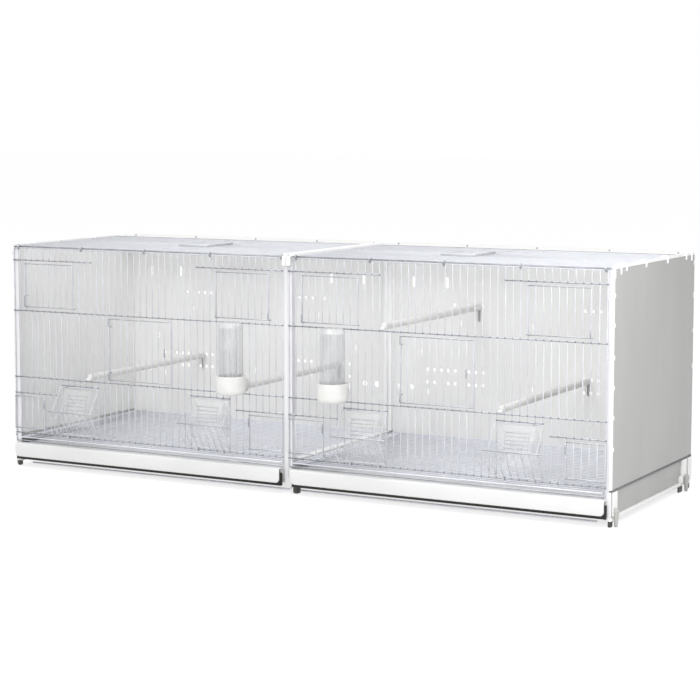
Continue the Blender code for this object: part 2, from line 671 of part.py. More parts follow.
def add_main_doors():
    # Doors on two rings round the upright at their left edge, with the origin on that upright
    first, last = main_door_span()
    hinge = UPRIGHTS[first]
    places = [place - hinge for place in UPRIGHTS[first:last + 1]]
    low = LOWER_RAIL + DOOR_MARGIN
    high = UPPER_RAIL - DOOR_MARGIN
    for side in BAYS:
        panel = upright_panel(door_wires(places, low, high), -RUN_GAP - WIRE_DEPTH / 2)
        rings = [
            moved(ring(RING_BORE, RING_WALL, RING_HEIGHT), (0.0, 0.0, level))
            for level in (low + LATCH_RISE, high - LATCH_RISE - RING_HEIGHT)
        ]
        catch = moved(latch(places[-2], (low + high - LATCH_LENGTH) / 2), (0.0, -WIRE_DEPTH / 2, 0.0))
        door = combined(panel, rings + [catch])
        where = (bay_left(side) + hinge, FRONT + WIRE_DEPTH / 2, 0.0)
        add_piece("main_door_" + side, door, WHITE_WIRE, where)


def slope():
    # Direction and length from the bracket's axis to its front bar, in the YZ plane
    run = Vector((-FEEDER_REACH - WIRE_DEPTH / 2, FEEDER_BAR_HEIGHT))
    return run.normalized(), run.length


def slope_point(along, off):
    # A place along the slope, pushed up off it towards the cage
    way, _ = slope()
    inward = Vector((way.y, -way.x))
    return way * along + inward * off


def feeder_frame():
    # The bracket, with its origin on the bottom rail that its rings go round
    way, length = slope()
    places = [step * WIRE_PITCH for step in range(-FEEDER_PITCHES // 2, FEEDER_PITCHES // 2 + 1)]
    half = FEEDER_WIRE / 2
    ringed = (places[1], places[-2])
    sleeve = FEEDER_RING_BORE + FEEDER_RING_WALL / 2
    lower = [rail(FEEDER_HEEL, places[0] - half, places[-1] + half, FEEDER_WIRE)]
    for place in places:
        lower.append(upright(place, sleeve if place in ringed else FEEDER_HEEL, length, FEEDER_WIRE))
    bar = (places[0] - FEEDER_BAR_OVERHANG, places[-1] + FEEDER_BAR_OVERHANG)
    lower.append(rail(length, *bar, FEEDER_WIRE))
    lean = math.atan2(way.y, way.x)
    slats = moved(moved(wire_panel(lower, FEEDER_WIRE), (0.0, 0.0, -half)), turn=(lean, "X"))
    head = Vector((-FEEDER_HEAD_SETBACK - WIRE_DEPTH / 2, FEEDER_OPENING_HEIGHT - FEEDER_HEAD_DROP))
    rise = head - way * length
    ends = (places[0] - FEEDER_HEAD_OVERHANG, places[-1] + FEEDER_HEAD_OVERHANG)
    upper = [upright(end, 0.0, rise.length, FEEDER_WIRE) for end in ends]
    upper += [rail(level, ends[0] - half, ends[1] + half, FEEDER_WIRE) for level in (0.0, rise.length)]
    top = moved(wire_panel(upper, FEEDER_WIRE), (0.0, 0.0, -half))
    moved(top, (0.0, *(way * length)), (math.atan2(rise.y, rise.x), "X"))
    rings = [
        moved(
            moved(ring(FEEDER_RING_BORE, FEEDER_RING_WALL, RING_HEIGHT), (0.0, 0.0, -RING_HEIGHT / 2)),
            (place, 0.0, 0.0), (math.pi / 2, "Y"),
        )
        for place in ringed
    ]
    return combined(slats, [top] + rings)


def cup_outline():
    # The feeder cup seen from its side, from the hood's top round to the rear lip
    off = FEEDER_WIRE / 2 + FIT
    front = slope_point(FEEDER_CUP_HIGH, off)
    low = slope_point(FEEDER_CUP_LOW, off)
    rear = FEEDER_CUP_BACK - WIRE_DEPTH / 2
    hood = Vector((-FEEDER_HOOD_SETBACK, FEEDER_OPENING_HEIGHT - RAIL_WIRE / 2 - FEEDER_HOOD_DROP))
    brim = front + Vector((0.0, FEEDER_CUP_BRIM))
    heel = Vector((rear, low.y + FEEDER_CUP_HEEL))
    bottom = Vector((rear - FEEDER_CUP_HEEL, low.y))
    lip = Vector((rear, low.y + FEEDER_CUP_LIP))
    return [hood, brim, front, low, bottom, heel, lip]


def inset(outline, shifts):
    # Moves each edge of a counter-clockwise outline inwards by its own shift
    lines = []
    for index, shift in enumerate(shifts):
        start, end = outline[index], outline[(index + 1) % len(outline)]
        along = (end - start).normalized()
        inward = Vector((-along.y, along.x))
        lines.append((start + inward * shift, along))
    corners = []
    for index in range(len(lines)):
        (point, along), (before, before_along) = lines[index], lines[index - 1]
        cross = before_along.x * along.y - before_along.y * along.x
        reach = ((point - before).x * along.y - (point - before).y * along.x) / cross
        corners.append(before + before_along * reach)
    return corners


def along_x(outline, x_span):
    # A YZ outline extruded between two places along X
    low, high = x_span
    shape = prism([(y, z) for y, z in outline], high - low)
    turn = Matrix(((0, 0, 1, 0), (1, 0, 0, 0), (0, 1, 0, 0), (0, 0, 0, 1)))
    shape.transform(turn)
    return moved(shape, (low, 0.0, 0.0))


def feeder_cup():
    # A trough with a sloping louvred hood, open towards the birds
    outline = cup_outline()
    half = FEEDER_CUP_WIDTH / 2
    body = along_x(outline, (-half, half))
    shifts = [FEEDER_CUP_WALL] * (len(outline) - 1) + [-OVERRUN]
    cavity = along_x(inset(outline, shifts), centred(0.0, FEEDER_CUP_WIDTH - 2 * FEEDER_CUP_WALL))
    hood, brim = outline[0], outline[1]
    louvres = []
    for number in range(LOUVRE_COUNT):
        middle = brim + (hood - brim) * (number + 1) / (LOUVRE_COUNT + 1)
        span = centred(0.0, FEEDER_CUP_WIDTH - 2 * LOUVRE_SIDE_MARGIN)
        louvres.append(block(span, centred(middle.x - LOUVRE / 2, 2 * LOUVRE), centred(middle.y, LOUVRE)))
    return combined(body, louvres, [cavity])


def add_feeders():
    frame = feeder_frame()
    cup = feeder_cup()
    number = 0
    for side in BAYS:
        for first, last in mirrored_spans(FEEDER_START, FEEDER_PITCHES):
            number += 1
            x = bay_left(side) + (UPRIGHTS[first] + UPRIGHTS[last]) / 2
            axis = add_joint_empty(f"feeder_axis_{number}", (x, FRONT + WIRE_DEPTH / 2, BOTTOM_RAIL))
            add_piece(f"feeder_frame_{number}", frame.copy(), WHITE_WIRE, parent=axis)
            add_piece(f"feeder_cup_{number}", cup.copy(), CLEAR_PLASTIC, parent=axis)


def drinker_cup():
    # A round cup with a socket for the tube and a spout through the wires, from z = 0 up
    height = DRINKER_CUP_HEIGHT
    outer = [
        (0.0, 0.0), (DRINKER_CUP_FOOT_RADIUS, 0.0),
        (DRINKER_CUP_RADIUS - DRINKER_CUP_WALL / 2, DRINKER_CUP_FILLET),
        (DRINKER_CUP_RADIUS, 2 * DRINKER_CUP_FILLET), (DRINKER_CUP_RADIUS, height), (0.0, height),
    ]
    socket = DRINKER_TUBE_RADIUS + DRINKER_SOCKET_GAP
    ledge = height - DRINKER_SOCKET_DEPTH
    narrow = DRINKER_TUBE_RADIUS - DRINKER_LEDGE
    floor = DRINKER_CUP_WALL
    bore = [
        (0.0, floor), (DRINKER_CUP_FOOT_RADIUS - DRINKER_CUP_WALL, floor), (narrow, DRINKER_CUP_FILLET),
        (narrow, ledge), (socket, ledge), (socket, height + OVERRUN), (0.0, height + OVERRUN),
    ]
    half = DRINKER_SPOUT_WIDTH / 2
    spout_start = DRINKER_CUP_RADIUS - DRINKER_SPOUT_ROOT
    spout_end = DRINKER_STANDOFF + DRINKER_SPOUT_REACH
    spout = block((-half, half), (spout_start, spout_end), (0.0, DRINKER_SPOUT_HEIGHT))
    wall = DRINKER_SPOUT_WALL
    tunnel_top = ledge - wall
    tunnel = block((wall - half, half - wall), (0.0, spout_end - wall), (floor, tunnel_top))
    basin = block(
        (wall - half, half - wall),
        (DRINKER_STANDOFF + WIRE_DEPTH + FIT, spout_end - wall),
        (floor + wall, DRINKER_SPOUT_HEIGHT + OVERRUN),
    )
    solid = turned(outer, DRINKER_SIDES)
    return smoothed(combined(solid, [spout], [turned(bore, DRINKER_SIDES), tunnel, basin]))


def drinker_tube():
    # A clear bottle, closed and domed at the top, open at the bottom, from z = 0 up
    radius = DRINKER_TUBE_RADIUS
    wall = DRINKER_TUBE_WALL
    top = DRINKER_TUBE_LENGTH
    shoulder = DRINKER_TUBE_SHOULDER
    cut = shoulder * DRINKER_TUBE_ROUND_SHARE
    profile = [
        (0.0, top), (radius - shoulder, top), (radius - cut, top - cut), (radius, top - shoulder),
        (radius, 0.0), (radius - wall, 0.0), (radius - wall, top - shoulder),
        (radius - cut - wall, top - cut - wall), (radius - shoulder, top - wall), (0.0, top - wall),
    ]
    return smoothed(turned(profile, DRINKER_SIDES))


def drinker_gap(side):
    # The gap between two uprights that the drinker stands in, counted from the centre post
    return LAST - 1 - LEFT_DRINKER_GAP if side == "left" else RIGHT_DRINKER_GAP


def gap_middle(side, gap):
    return bay_left(side) + (UPRIGHTS[gap] + UPRIGHTS[gap + 1]) / 2


def add_drinkers():
    cup = drinker_cup()
    tube = drinker_tube()
    level = LOWER_RAIL + RAIL_WIRE / 2 + FIT
    for side in BAYS:
        x = gap_middle(side, drinker_gap(side))
        seat = add_joint_empty("drinker_seat_" + side, (x, FRONT - DRINKER_STANDOFF, level))
        add_piece("drinker_cup_" + side, cup.copy(), WHITE_PLASTIC, parent=seat)
        ledge = DRINKER_CUP_HEIGHT - DRINKER_SOCKET_DEPTH
        add_piece("drinker_tube_" + side, tube.copy(), CLEAR_PLASTIC, (0.0, 0.0, ledge + FIT), parent=seat)


def perch():
    # A round rail from front to back: a tongue over the front's rail and a tab on the back sheet
    start = WIRE_DEPTH + FIT
    end = BACK_SHEET_FRONT - FRONT - FIT
    shape = bmesh.new()
    bmesh.ops.create_cone(
        shape, cap_ends=True, segments=PERCH_SIDES,
        radius1=PERCH_RADIUS, radius2=PERCH_RADIUS, depth=end - start,
    )
    bar = moved(mesh_from(shape, "bar"), (0.0, (start + end) / 2, 0.0), (math.pi / 2, "X"))
    tongue = block(
        centred(0.0, PERCH_TONGUE_WIDTH), (-PERCH_TONGUE_REACH, start + PERCH_TONGUE_ROOT),
        (-PERCH_RADIUS, PERCH_TONGUE_HEIGHT - PERCH_RADIUS),
    )
    tab = block(centred(0.0, PERCH_TAB_WIDTH), (end - PERCH_TAB_DEPTH, end), (-PERCH_TAB_DROP, 0.0))
    return smoothed(combined(bar, [tongue, tab]))


def add_perches():
    # Each perch rests in a gap between two uprights, on the lower or the upper rail
    # The upper one stays clear of the ring on the nest door's inner upright
    beside_nest_door = NEST_DOOR_START + NEST_DOOR_PITCHES + 1
    door_left, door_right = main_door_span()
    places = (
        ("left", door_left - PERCH_LEFT_OF_LEFT_DOOR, LOWER_RAIL),
        ("left", drinker_gap("left") - PERCH_LEFT_OF_DRINKER, LOWER_RAIL),
        ("right", max(door_left - PERCH_LEFT_OF_RIGHT_DOOR, beside_nest_door), UPPER_RAIL),
        ("right", door_right + PERCH_RIGHT_OF_RIGHT_DOOR, LOWER_RAIL),
    )
    mesh = perch()
    for number, (side, gap, level) in enumerate(places, 1):
        x = gap_middle(side, gap)
        z = level + RAIL_WIRE / 2 + FIT + PERCH_RADIUS
        add_piece(f"perch_{number}", mesh.copy(), PERCH_PLASTIC, (x, FRONT, z))


def floor_span(side):
    # What the tray and the grille may fill between the posts, along X
    if side == "left":
        return (-BAY + TRAY_OUTER_EDGE, -TRAY_INNER_EDGE)
    return (TRAY_INNER_EDGE, BAY - TRAY_OUTER_EDGE)


def lip_outline():
    # The lip seen from its end: a skin in front, a top, and a leg down the tray's front wall
    low = TRAY_BOTTOM + TRAY_LIP_RISE
    high = TRAY_LIP_TOP
    face = FRONT - TRAY_LIP_DEPTH
    return [
        (face + TRAY_LIP_BEVEL / 2, low), (face + TRAY_WALL, low), (face + TRAY_WALL, high - TRAY_WALL),
        (FRONT, high - TRAY_WALL), (FRONT, TRAY_BOTTOM + TRAY_LIP_ROOT),
        (FRONT + TRAY_WALL, TRAY_BOTTOM + TRAY_LIP_ROOT), (FRONT + TRAY_WALL, high),
        (face + TRAY_LIP_BEVEL, high), (face, high - TRAY_LIP_BEVEL), (face, low + TRAY_LIP_BEVEL),
    ]


def add_trays():
    for side in BAYS:
        low, high = floor_span(side)
        front = FRONT + TRAY_FACE_STEP
        rear = BACK_SHEET_FRONT - TRAY_REAR_GAP
        top = TRAY_LIP_TOP - TRAY_RIM_DROP
        body = block((low, high), (front, rear), (TRAY_BOTTOM, top))
        hollow = block(
            (low + TRAY_WALL, high - TRAY_WALL), (front + TRAY_WALL, rear - TRAY_WALL),
            (TRAY_BOTTOM + TRAY_WALL, top + OVERRUN),
        )
        wide = (low - TRAY_LIP_WIDER, high) if side == "left" else (low, high + TRAY_LIP_WIDER)
        lip = along_x(lip_outline(), wide)
        add_piece("tray_" + side, combined(body, [lip], [hollow]), WHITE_PLASTIC)
        seal = block(
            (wide[0] + SEAL_END_GAP, wide[1] - SEAL_END_GAP),
            (FRONT - TRAY_LIP_DEPTH + TRAY_WALL + FIT, FRONT - FIT),
            (TRAY_BOTTOM + TRAY_LIP_RISE - SEAL_DROP, TRAY_LIP_TOP - TRAY_WALL - FIT),
        )
        add_piece("tray_seal_" + side, seal, DARK_PLASTIC)


def add_floor_grilles():
    # Wires along the bay's length on three cross wires
    for side in BAYS:
        low, high = floor_span(side)
        half = RAIL_WIRE / 2
        front = FRONT - GRILLE_FRONT_LIP + half
        rear = BACK_SHEET_FRONT - GRILLE_REAR_GAP - half
        levels = evenly(front, rear, WIRE_PITCH)
        wires = [rail(level, low, high, UPRIGHT_WIRE) for level in levels[1:-1]]
        wires += [rail(level, low, high) for level in (front, rear)]
        for place in (low + half, (low + high) / 2, high - half):
            wires.append(upright(place, front - half, rear + half, RAIL_WIRE))
        grille = wire_panel(wires, WIRE_DEPTH)
        add_piece("floor_grille_" + side, moved(grille, (0.0, 0.0, GRILLE_BOTTOM)), ZINC_WIRE)


def roof_levels():
    return evenly(FRONT + ROOF_EDGE, BACK_SHEET_FRONT - FIT - ROOF_EDGE, ROOF_PITCH)


def hatch_rows():
    levels = roof_levels()
    return levels[HATCH_START], levels[HATCH_START + HATCH_PITCHES]


def roof_span(side):
    # Each roof runs from the outer edge of the cage to the rail between the roofs
    inner = CENTRE_POST_WIDTH / 2 + FIT
    outer = SIDE_SHEET_OUTER
    return (-outer, -inner) if side == "left" else (inner, outer)


def add_roofs():
    lid = hatch_lid()
    for side in BAYS:
        low, high = roof_span(side)
        levels = roof_levels()
        middle = (low + high) / 2 + HATCH_SHIFT[side]
        opening = centred(middle, HATCH_WIDTH + RAIL_WIRE)
        front_row, rear_row = hatch_rows()
        half = ROOF_EDGE
        wires = []
        for level in levels:
            thick = RAIL_WIRE if level in (levels[0], levels[-1]) else UPRIGHT_WIRE
            if front_row < level < rear_row:
                wires += [rail(level, low, opening[0], thick), rail(level, opening[1], high, thick)]
            else:
                wires.append(rail(level, low, high, thick))
        for place in (low + half, *opening, high - half):
            wires.append(upright(place, levels[0] - half, levels[-1] + half, RAIL_WIRE))
        roof = moved(wire_panel(wires, WIRE_DEPTH), (0.0, 0.0, ROOF_UNDER))
        add_piece("roof_grid_" + side, roof, WHITE_WIRE)
        axis_height = ROOF_UNDER + WIRE_DEPTH / 2
        add_piece("roof_hatch_" + side, lid.copy(), WHITE_WIRE, (middle, rear_row, axis_height))


def hatch_lid():
    # A wire lid with a second wire on its front and right edges, on two rings round the roof wire
    # behind it; the origin is on that wire
    front_row, rear_row = hatch_rows()
    inner_rows = roof_levels()[HATCH_START + 1:HATCH_START + HATCH_PITCHES]
    front = front_row - rear_row - HATCH_OVERLAP
    rear = -HATCH_RING_BORE
    half = HATCH_WIDTH / 2 + HATCH_OVERLAP
    edge = RAIL_WIRE / 2
    low = WIRE_DEPTH / 2 + FIT
    wires = [rail(level - rear_row, -half, half, UPRIGHT_WIRE) for level in inner_rows]
    wires += [rail(level, -half, half) for level in (front + edge, rear - edge)]
    wires += [upright(place, front, rear, RAIL_WIRE) for place in (edge - half, half - edge)]
    panel = moved(wire_panel(wires, WIRE_DEPTH), (0.0, 0.0, low))
    thin = UPRIGHT_WIRE / 2
    rim_wires = [
        rail(front + edge, edge - thin - half, half - edge + thin, UPRIGHT_WIRE),
        upright(half - edge, front + edge - thin, rear - HATCH_RIM),
    ]
    rim = moved(wire_panel(rim_wires, WIRE_DEPTH / 2 + HATCH_RIM), (0.0, 0.0, low + WIRE_DEPTH / 2))
    rings = [
        moved(
            moved(ring(HATCH_RING_BORE, HATCH_RING_WALL, RING_HEIGHT), (0.0, 0.0, -RING_HEIGHT / 2)),
            (place, 0.0, 0.0), (math.pi / 2, "Y"),
        )
        for place in centred(0.0, HATCH_RING_SPREAD)
    ]
    return combined(panel, [rim] + rings)


def punches(side):
    # Prisms that stand across the back sheet where its holes and slots are
    middle = bay_left(side) + BAY * BACK_CENTRE_SHARE
    holes = []

    def slot(x, z, width, length):
        low, high = centred(z, length)
        left, right = centred(x, width)
        holes.append([(left, low), (right, low), (right, high), (left, high)])

    def dot(x, z, radius, sides):
        holes.append([(x + radius * math.cos(t), z + radius * math.sin(t)) for t in round_angles(sides)])

    for way in (-1, 1):
        for share in TALL_SLOT_SHARES:
            height = TALL_SLOT_HEIGHT_SHARE * CAGE_HEIGHT
            slot(middle + way * share * BAY, height, TALL_SLOT_WIDTH, TALL_SLOT_LENGTH)
        for share in UPPER_DOT_SHARES:
            dot(middle + way * share * BAY, UPPER_DOT_HEIGHT_SHARE * CAGE_HEIGHT, DOT_RADIUS, DOT_SIDES)
        for height_share, steps in DOT_ROW_STEPS.items():
            for step in steps:
                share = DOT_ROW_START_SHARE + step * DOT_ROW_STEP_SHARE
                dot(middle + way * share * BAY, height_share * CAGE_HEIGHT, DOT_RADIUS, DOT_SIDES)
        for share in LARGE_HOLE_SHARES:
            height = LARGE_HOLE_HEIGHT_SHARE * CAGE_HEIGHT
            dot(middle + way * share * BAY, height, LARGE_HOLE_RADIUS, LARGE_HOLE_SIDES[way])
    for share, height_share in SMALL_SLOT_PLACE_SHARES:
        for way in (-1, 1) if share else (1,):
            x = middle + way * share * BAY
            slot(x, height_share * CAGE_HEIGHT, SMALL_SLOT_WIDTH, SMALL_SLOT_LENGTH)
    shape = bmesh.new()
    for hole in holes:
        prism_mesh = prism(hole, SHEET + 2 * OVERRUN)
        shape.from_mesh(prism_mesh)
        bpy.data.meshes.remove(prism_mesh)
    tool = mesh_from(shape, "punches")
    return moved(tool, (0.0, BACK_SHEET_REAR + OVERRUN, 0.0), (math.pi / 2, "X"))


def add_back_panels():
    for side in BAYS:
        span = (-SIDE_SHEET_OUTER, -FIT / 2) if side == "left" else (FIT / 2, SIDE_SHEET_OUTER)
        flange_low = CAGE_HEIGHT + FIT
        flange_high = flange_low + BACK_FLANGE_THICKNESS
        sheet = block(span, (BACK_SHEET_FRONT, BACK_SHEET_REAR), (BASE_BOTTOM, flange_high))
        flange = block(span, (BACK_SHEET_REAR - BACK_FLANGE, BACK_SHEET_REAR), (flange_low, flange_high))
        panel = combined(sheet, [flange], [punches(side)])
        add_piece("back_panel_" + side, panel, GREY_SHEET)


def main():
    for thing in list(bpy.data.objects):
        bpy.data.objects.remove(thing)
    add_side_walls()
    add_corner_posts()
    add_centre_profiles()
    add_back_panels()
    add_feet()
    add_tie_wires()
    add_fronts()
    add_roofs()
    add_floor_grilles()
    add_trays()
    add_sliding_doors()
    add_main_doors()
    add_feeders()
    add_drinkers()
    add_perches()


main()
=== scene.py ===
import json
import math

import bmesh
import bpy
from mathutils import Matrix, Vector


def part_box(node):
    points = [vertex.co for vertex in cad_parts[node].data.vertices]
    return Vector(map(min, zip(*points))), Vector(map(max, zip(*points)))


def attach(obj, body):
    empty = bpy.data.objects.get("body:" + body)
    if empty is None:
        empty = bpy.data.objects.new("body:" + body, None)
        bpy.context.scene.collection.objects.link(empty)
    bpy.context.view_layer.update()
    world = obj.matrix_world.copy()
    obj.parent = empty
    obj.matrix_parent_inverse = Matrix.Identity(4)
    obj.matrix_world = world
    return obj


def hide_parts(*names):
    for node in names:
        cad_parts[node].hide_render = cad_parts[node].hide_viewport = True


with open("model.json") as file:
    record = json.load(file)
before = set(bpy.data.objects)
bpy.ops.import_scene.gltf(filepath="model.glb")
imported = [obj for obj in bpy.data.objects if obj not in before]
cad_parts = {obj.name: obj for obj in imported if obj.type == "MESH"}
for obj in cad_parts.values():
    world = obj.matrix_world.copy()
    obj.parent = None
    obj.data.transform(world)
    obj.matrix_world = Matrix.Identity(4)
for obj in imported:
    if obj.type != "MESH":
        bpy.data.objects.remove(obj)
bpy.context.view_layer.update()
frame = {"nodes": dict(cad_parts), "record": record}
print("frame loaded")

nodeBody = {node: body for body, nodes in frame["record"]["behaviour"]["bodies"].items() for node in nodes}
sides = ("left", "right")
bay = 0.6
front = -0.172  # front face of the wire fronts
levels = dict(
    sill=0.0495, bottom=0.065, bath=0.1415, feeder=0.161, lower=0.172, upper=0.298, nest=0.3935, top=0.4158)
uprightCount = 44
firstUpright, lastUpright = 0.0035, 0.0095  # measured from the bay's two ends
pitch = (bay - firstUpright - lastUpright) / (uprightCount - 1)


def uprightPlace(side, index):
    return (-bay if side == "left" else 0.0) + firstUpright + pitch * index


def mirrored(start, pitches):
    # The same run of uprights at each end of a bay
    last = uprightCount - 1
    return [(start, start + pitches), (last - start - pitches, last - start)]


def bayEnds(side, inner, outer):
    # The same span in either bay, measured from the middle of the cage
    return (-outer, -inner) if side == "left" else (inner, outer)


def spread(span, step, count):
    # One of evenly spaced places, of which the first and last are the span's ends
    return span[0] + (span[1] - span[0]) * step / (count - 1)


# Materials

def linear(hexColour):
    # sRGB hex to the linear colour that shaders take
    channels = [int(hexColour[place:place + 2], 16) / 255 for place in (1, 3, 5)]
    return tuple(c / 12.92 if c <= 0.04045 else ((c + 0.055) / 1.055) ** 2.4 for c in channels) + (1.0,)


def addNode(tree, kind, inputs=None, links=None, **settings):
    # One node with its settings, its values and what feeds it
    node = tree.nodes.new(kind)
    for name, value in settings.items():
        setattr(node, name, value)
    for name, value in (inputs or {}).items():
        node.inputs[name].default_value = value
    for name, source in (links or {}).items():
        tree.links.new(source, node.inputs[name])
    return node


def surface(name, constants, look):
    # Two tones in soft blotches, flecks, a varied finish, a fine relief and, in clear plastic, streaks of haze
    material = bpy.data.materials.new(name)
    material.use_nodes = True
    tree = material.node_tree
    shader = tree.nodes["Principled BSDF"]
    for socket, value in constants.items():
        shader.inputs[socket].default_value = value
    place = addNode(tree, "ShaderNodeTexCoord").outputs["Object"]

    def stretched(scale):
        return addNode(tree, "ShaderNodeMapping", {"Scale": scale}, {"Vector": place}).outputs["Vector"]

    def noise(millimetres, detail, vector):
        # The scale that makes the noise's features that wide
        values = {"Scale": 1000.0 / millimetres, "Detail": detail}
        return addNode(tree, "ShaderNodeTexNoise", values, {"Vector": vector}).outputs["Fac"]

    def ranged(source, low, high, start=0.0, end=1.0):
        values = {"From Min": low, "From Max": high, "To Min": start, "To Max": end}
        return addNode(tree, "ShaderNodeMapRange", values, {"Value": source}).outputs["Result"]

    drawn = stretched(look.get("stretch", (1.0, 1.0, 1.0)))
    light, dark, blotchMm = look["tones"]
    blotches = ranged(noise(blotchMm, 4.0, drawn), 0.3, 0.7)
    tones = addNode(tree, "ShaderNodeMix", {6: linear(light), 7: linear(dark)}, {0: blotches},
                    data_type="RGBA").outputs[2]
    fleck, fleckMm, share = look["flecks"]
    flecks = ranged(noise(fleckMm, 1.0, place), 0.68, 0.78, end=share)
    colour = addNode(tree, "ShaderNodeMix", {7: linear(fleck)}, {0: flecks, 6: tones},
                     data_type="RGBA").outputs[2]
    grainMm, smooth, rough = look["grain"]
    grain = noise(grainMm, 3.0, drawn)
    strength, reliefMm = look["relief"]
    relief = addNode(tree, "ShaderNodeBump", {"Strength": strength, "Distance": reliefMm / 1000.0},
                     {"Height": grain})
    sources = {"Base Color": colour, "Roughness": ranged(grain, 0.0, 1.0, smooth, rough),
               "Normal": relief.outputs["Normal"]}
    if "haze" in look:
        clearest, haziest, streakMm, flow = look["haze"]
        sources["Alpha"] = ranged(noise(streakMm, 2.0, stretched(flow)), 0.35, 0.65, clearest, haziest)
    for socket, source in sources.items():
        tree.links.new(source, shader.inputs[socket])
    return material


# In each look: light and dark tone and the blotches' width in mm; the flecks' colour, width in mm and share;
# the grain's width in mm and the finish at its smoothest and roughest; the relief's strength and depth in mm;
# and the haze at its clearest and thickest, the streaks' width in mm and their flow
powderCoat, polystyrene, polypropylene, rubber = ({"IOR": index} for index in (1.52, 1.59, 1.49, 1.50))

# Polyester powder baked on drawn steel: an even white skin with a faint orange peel and thin spots at the welds
coatedWire = surface("powderCoatedSteelWire", powderCoat, dict(
    tones=("#D4D5DA", "#C4C5CB", 22), flecks=("#AFB3BE", 5, 0.5), grain=(1.6, 0.26, 0.44), relief=(0.3, 0.08)))

# The same wire, a little greyer and duller, for the roofs
roofWire = surface("powderCoatedSteelRoofWire", powderCoat, dict(
    tones=("#D2D4D9", "#C6C8CE", 26), flecks=("#AEB2BC", 5, 0.5), grain=(1.6, 0.34, 0.54), relief=(0.3, 0.08)))

# Bluish grey metallic wire that takes a bright line of light; its dark tone is painted shade where the white wires
# lie in shade
wirePaintedShade = surface("steelWirePaintedShade", {"Metallic": 0.85}, dict(
    tones=("#AEB0B7", "#8B8D95", 18), flecks=("#6C6E76", 4, 0.6), grain=(1.0, 0.24, 0.42), relief=(0.25, 0.05)))

# Drawn steel with electroplated zinc: pale and bluish, with a soft spangle and a draw grain along the wire
zincWire = surface("electroplatedZincWire", {"Metallic": 0.15}, dict(
    tones=("#E9EBF3", "#E0E3EC", 30), flecks=("#CFD3DD", 3, 0.25), grain=(0.9, 0.3, 0.52), relief=(0.25, 0.05)))

# Resistance welds where wires cross: small discoloured beads of steel
weldBead = surface("resistanceWeldedSteel", {"Metallic": 0.6}, dict(
    tones=("#9C9FA8", "#6F727B", 3), flecks=("#595B62", 1.2, 0.8), grain=(0.7, 0.4, 0.65), relief=(0.4, 0.1)))

# The same polystyrene sheet in grey, which is painted shade on the faces that look out of the cage: satin, with
# faint draw lines from the die up the sheet
sheetPaintedShade = surface("polystyreneSheetPaintedShade", polystyrene, dict(
    tones=("#ADADAC", "#A8A8A7", 90), flecks=("#AAA9A7", 4, 0.3), grain=(1.4, 0.44, 0.58), relief=(0.18, 0.08),
    stretch=(1.6, 1.6, 0.5)))

# The sheet's own pale colour, on the faces inside the cage, so that the cage stays light inside
backSheet = surface("coextrudedPolystyreneInnerSkin", polystyrene, dict(
    tones=("#F2F2F1", "#ECECEB", 90), flecks=("#D9D9D8", 4, 0.3), grain=(1.4, 0.42, 0.56), relief=(0.18, 0.08),
    stretch=(1.6, 1.6, 0.5)))

# Injection-moulded polystyrene: clean white with a slight sheen and a very fine spark-eroded texture
whiteMoulding = surface("injectionMouldedPolystyrene", polystyrene, dict(
    tones=("#F2F2F1", "#EBEBEA", 34), flecks=("#DEDDDA", 3, 0.3), grain=(0.8, 0.3, 0.46), relief=(0.18, 0.06)))

# The profiles on the front are extruded instead: a cooler white, with fine lines from the die down their length
frontProfile = surface("extrudedPolystyreneProfile", polystyrene, dict(
    tones=("#E8E8EA", "#E0E0E3", 40), flecks=("#CDCED4", 3, 0.3), grain=(0.9, 0.3, 0.46), relief=(0.22, 0.07),
    stretch=(1.0, 1.0, 0.2)))

# The rear and inner profiles: a brighter white, which is painted light that lifts them out of the shade, with the
# same lines from the die
profilePaintedLight = surface("extrudedProfilePaintedLight", polystyrene, dict(
    tones=("#FBFBFB", "#F5F5F5", 40), flecks=("#E6E6E6", 3, 0.3), grain=(0.9, 0.3, 0.46), relief=(0.18, 0.06),
    stretch=(1.0, 1.0, 0.2)))

# Polypropylene drinker cups: milk white and waxy, with soft clouds where the melt met
cupMoulding = surface("mouldedWhitePolypropylene", polypropylene, dict(
    tones=("#E4E4E2", "#DBDBD8", 16), flecks=("#CFCFCB", 2.5, 0.35), grain=(0.9, 0.24, 0.4),
    relief=(0.18, 0.06)))

# Pale grey strips down the profiles' slots: painted shade for the recess
slotPaintedShade = surface("polystyreneSlotPaintedShade", polystyrene, dict(
    tones=("#C9C9C7", "#BBBBB8", 12), flecks=("#A8A7A3", 2, 0.5), grain=(0.8, 0.34, 0.5), relief=(0.25, 0.08)))

# The pegs under the corners: a darker grey
pegMoulding = surface("injectionMouldedPolystyreneGrey", polystyrene, dict(
    tones=("#B6B6B4", "#A6A6A3", 12), flecks=("#8F8E8B", 2, 0.5), grain=(0.8, 0.36, 0.54), relief=(0.25, 0.08)))

# Vacuum-formed polystyrene trays: plain white with long soft waves where the sheet was stretched
traySheet = surface("vacuumFormedPolystyreneTray", polystyrene, dict(
    tones=("#E1E1E1", "#DBDBDB", 48), flecks=("#D4D4D2", 3, 0.4), grain=(1.1, 0.28, 0.44), relief=(0.2, 0.08),
    stretch=(0.5, 1.5, 1.5)))

# Feet near black, which is painted shade under the cage: waxy, with lighter specks
feetPaintedShade = surface("polypropyleneFeetPaintedShade", polypropylene, dict(
    tones=("#4E4D4A", "#31312F", 6), flecks=("#6B6A66", 1.5, 0.8), grain=(0.8, 0.28, 0.5), relief=(0.35, 0.12)))

# A matt black strip behind and under the tray's lip: painted shade for the dark gap there, its surface pitted
# (drawn at 0.9 mm so that the pits show)
blackStripPaintedShade = surface("lipStripPaintedShade", rubber, dict(
    tones=("#262624", "#161615", 9), flecks=("#3A3A37", 1.6, 0.8), grain=(0.9, 0.72, 0.92), relief=(0.8, 0.35)))
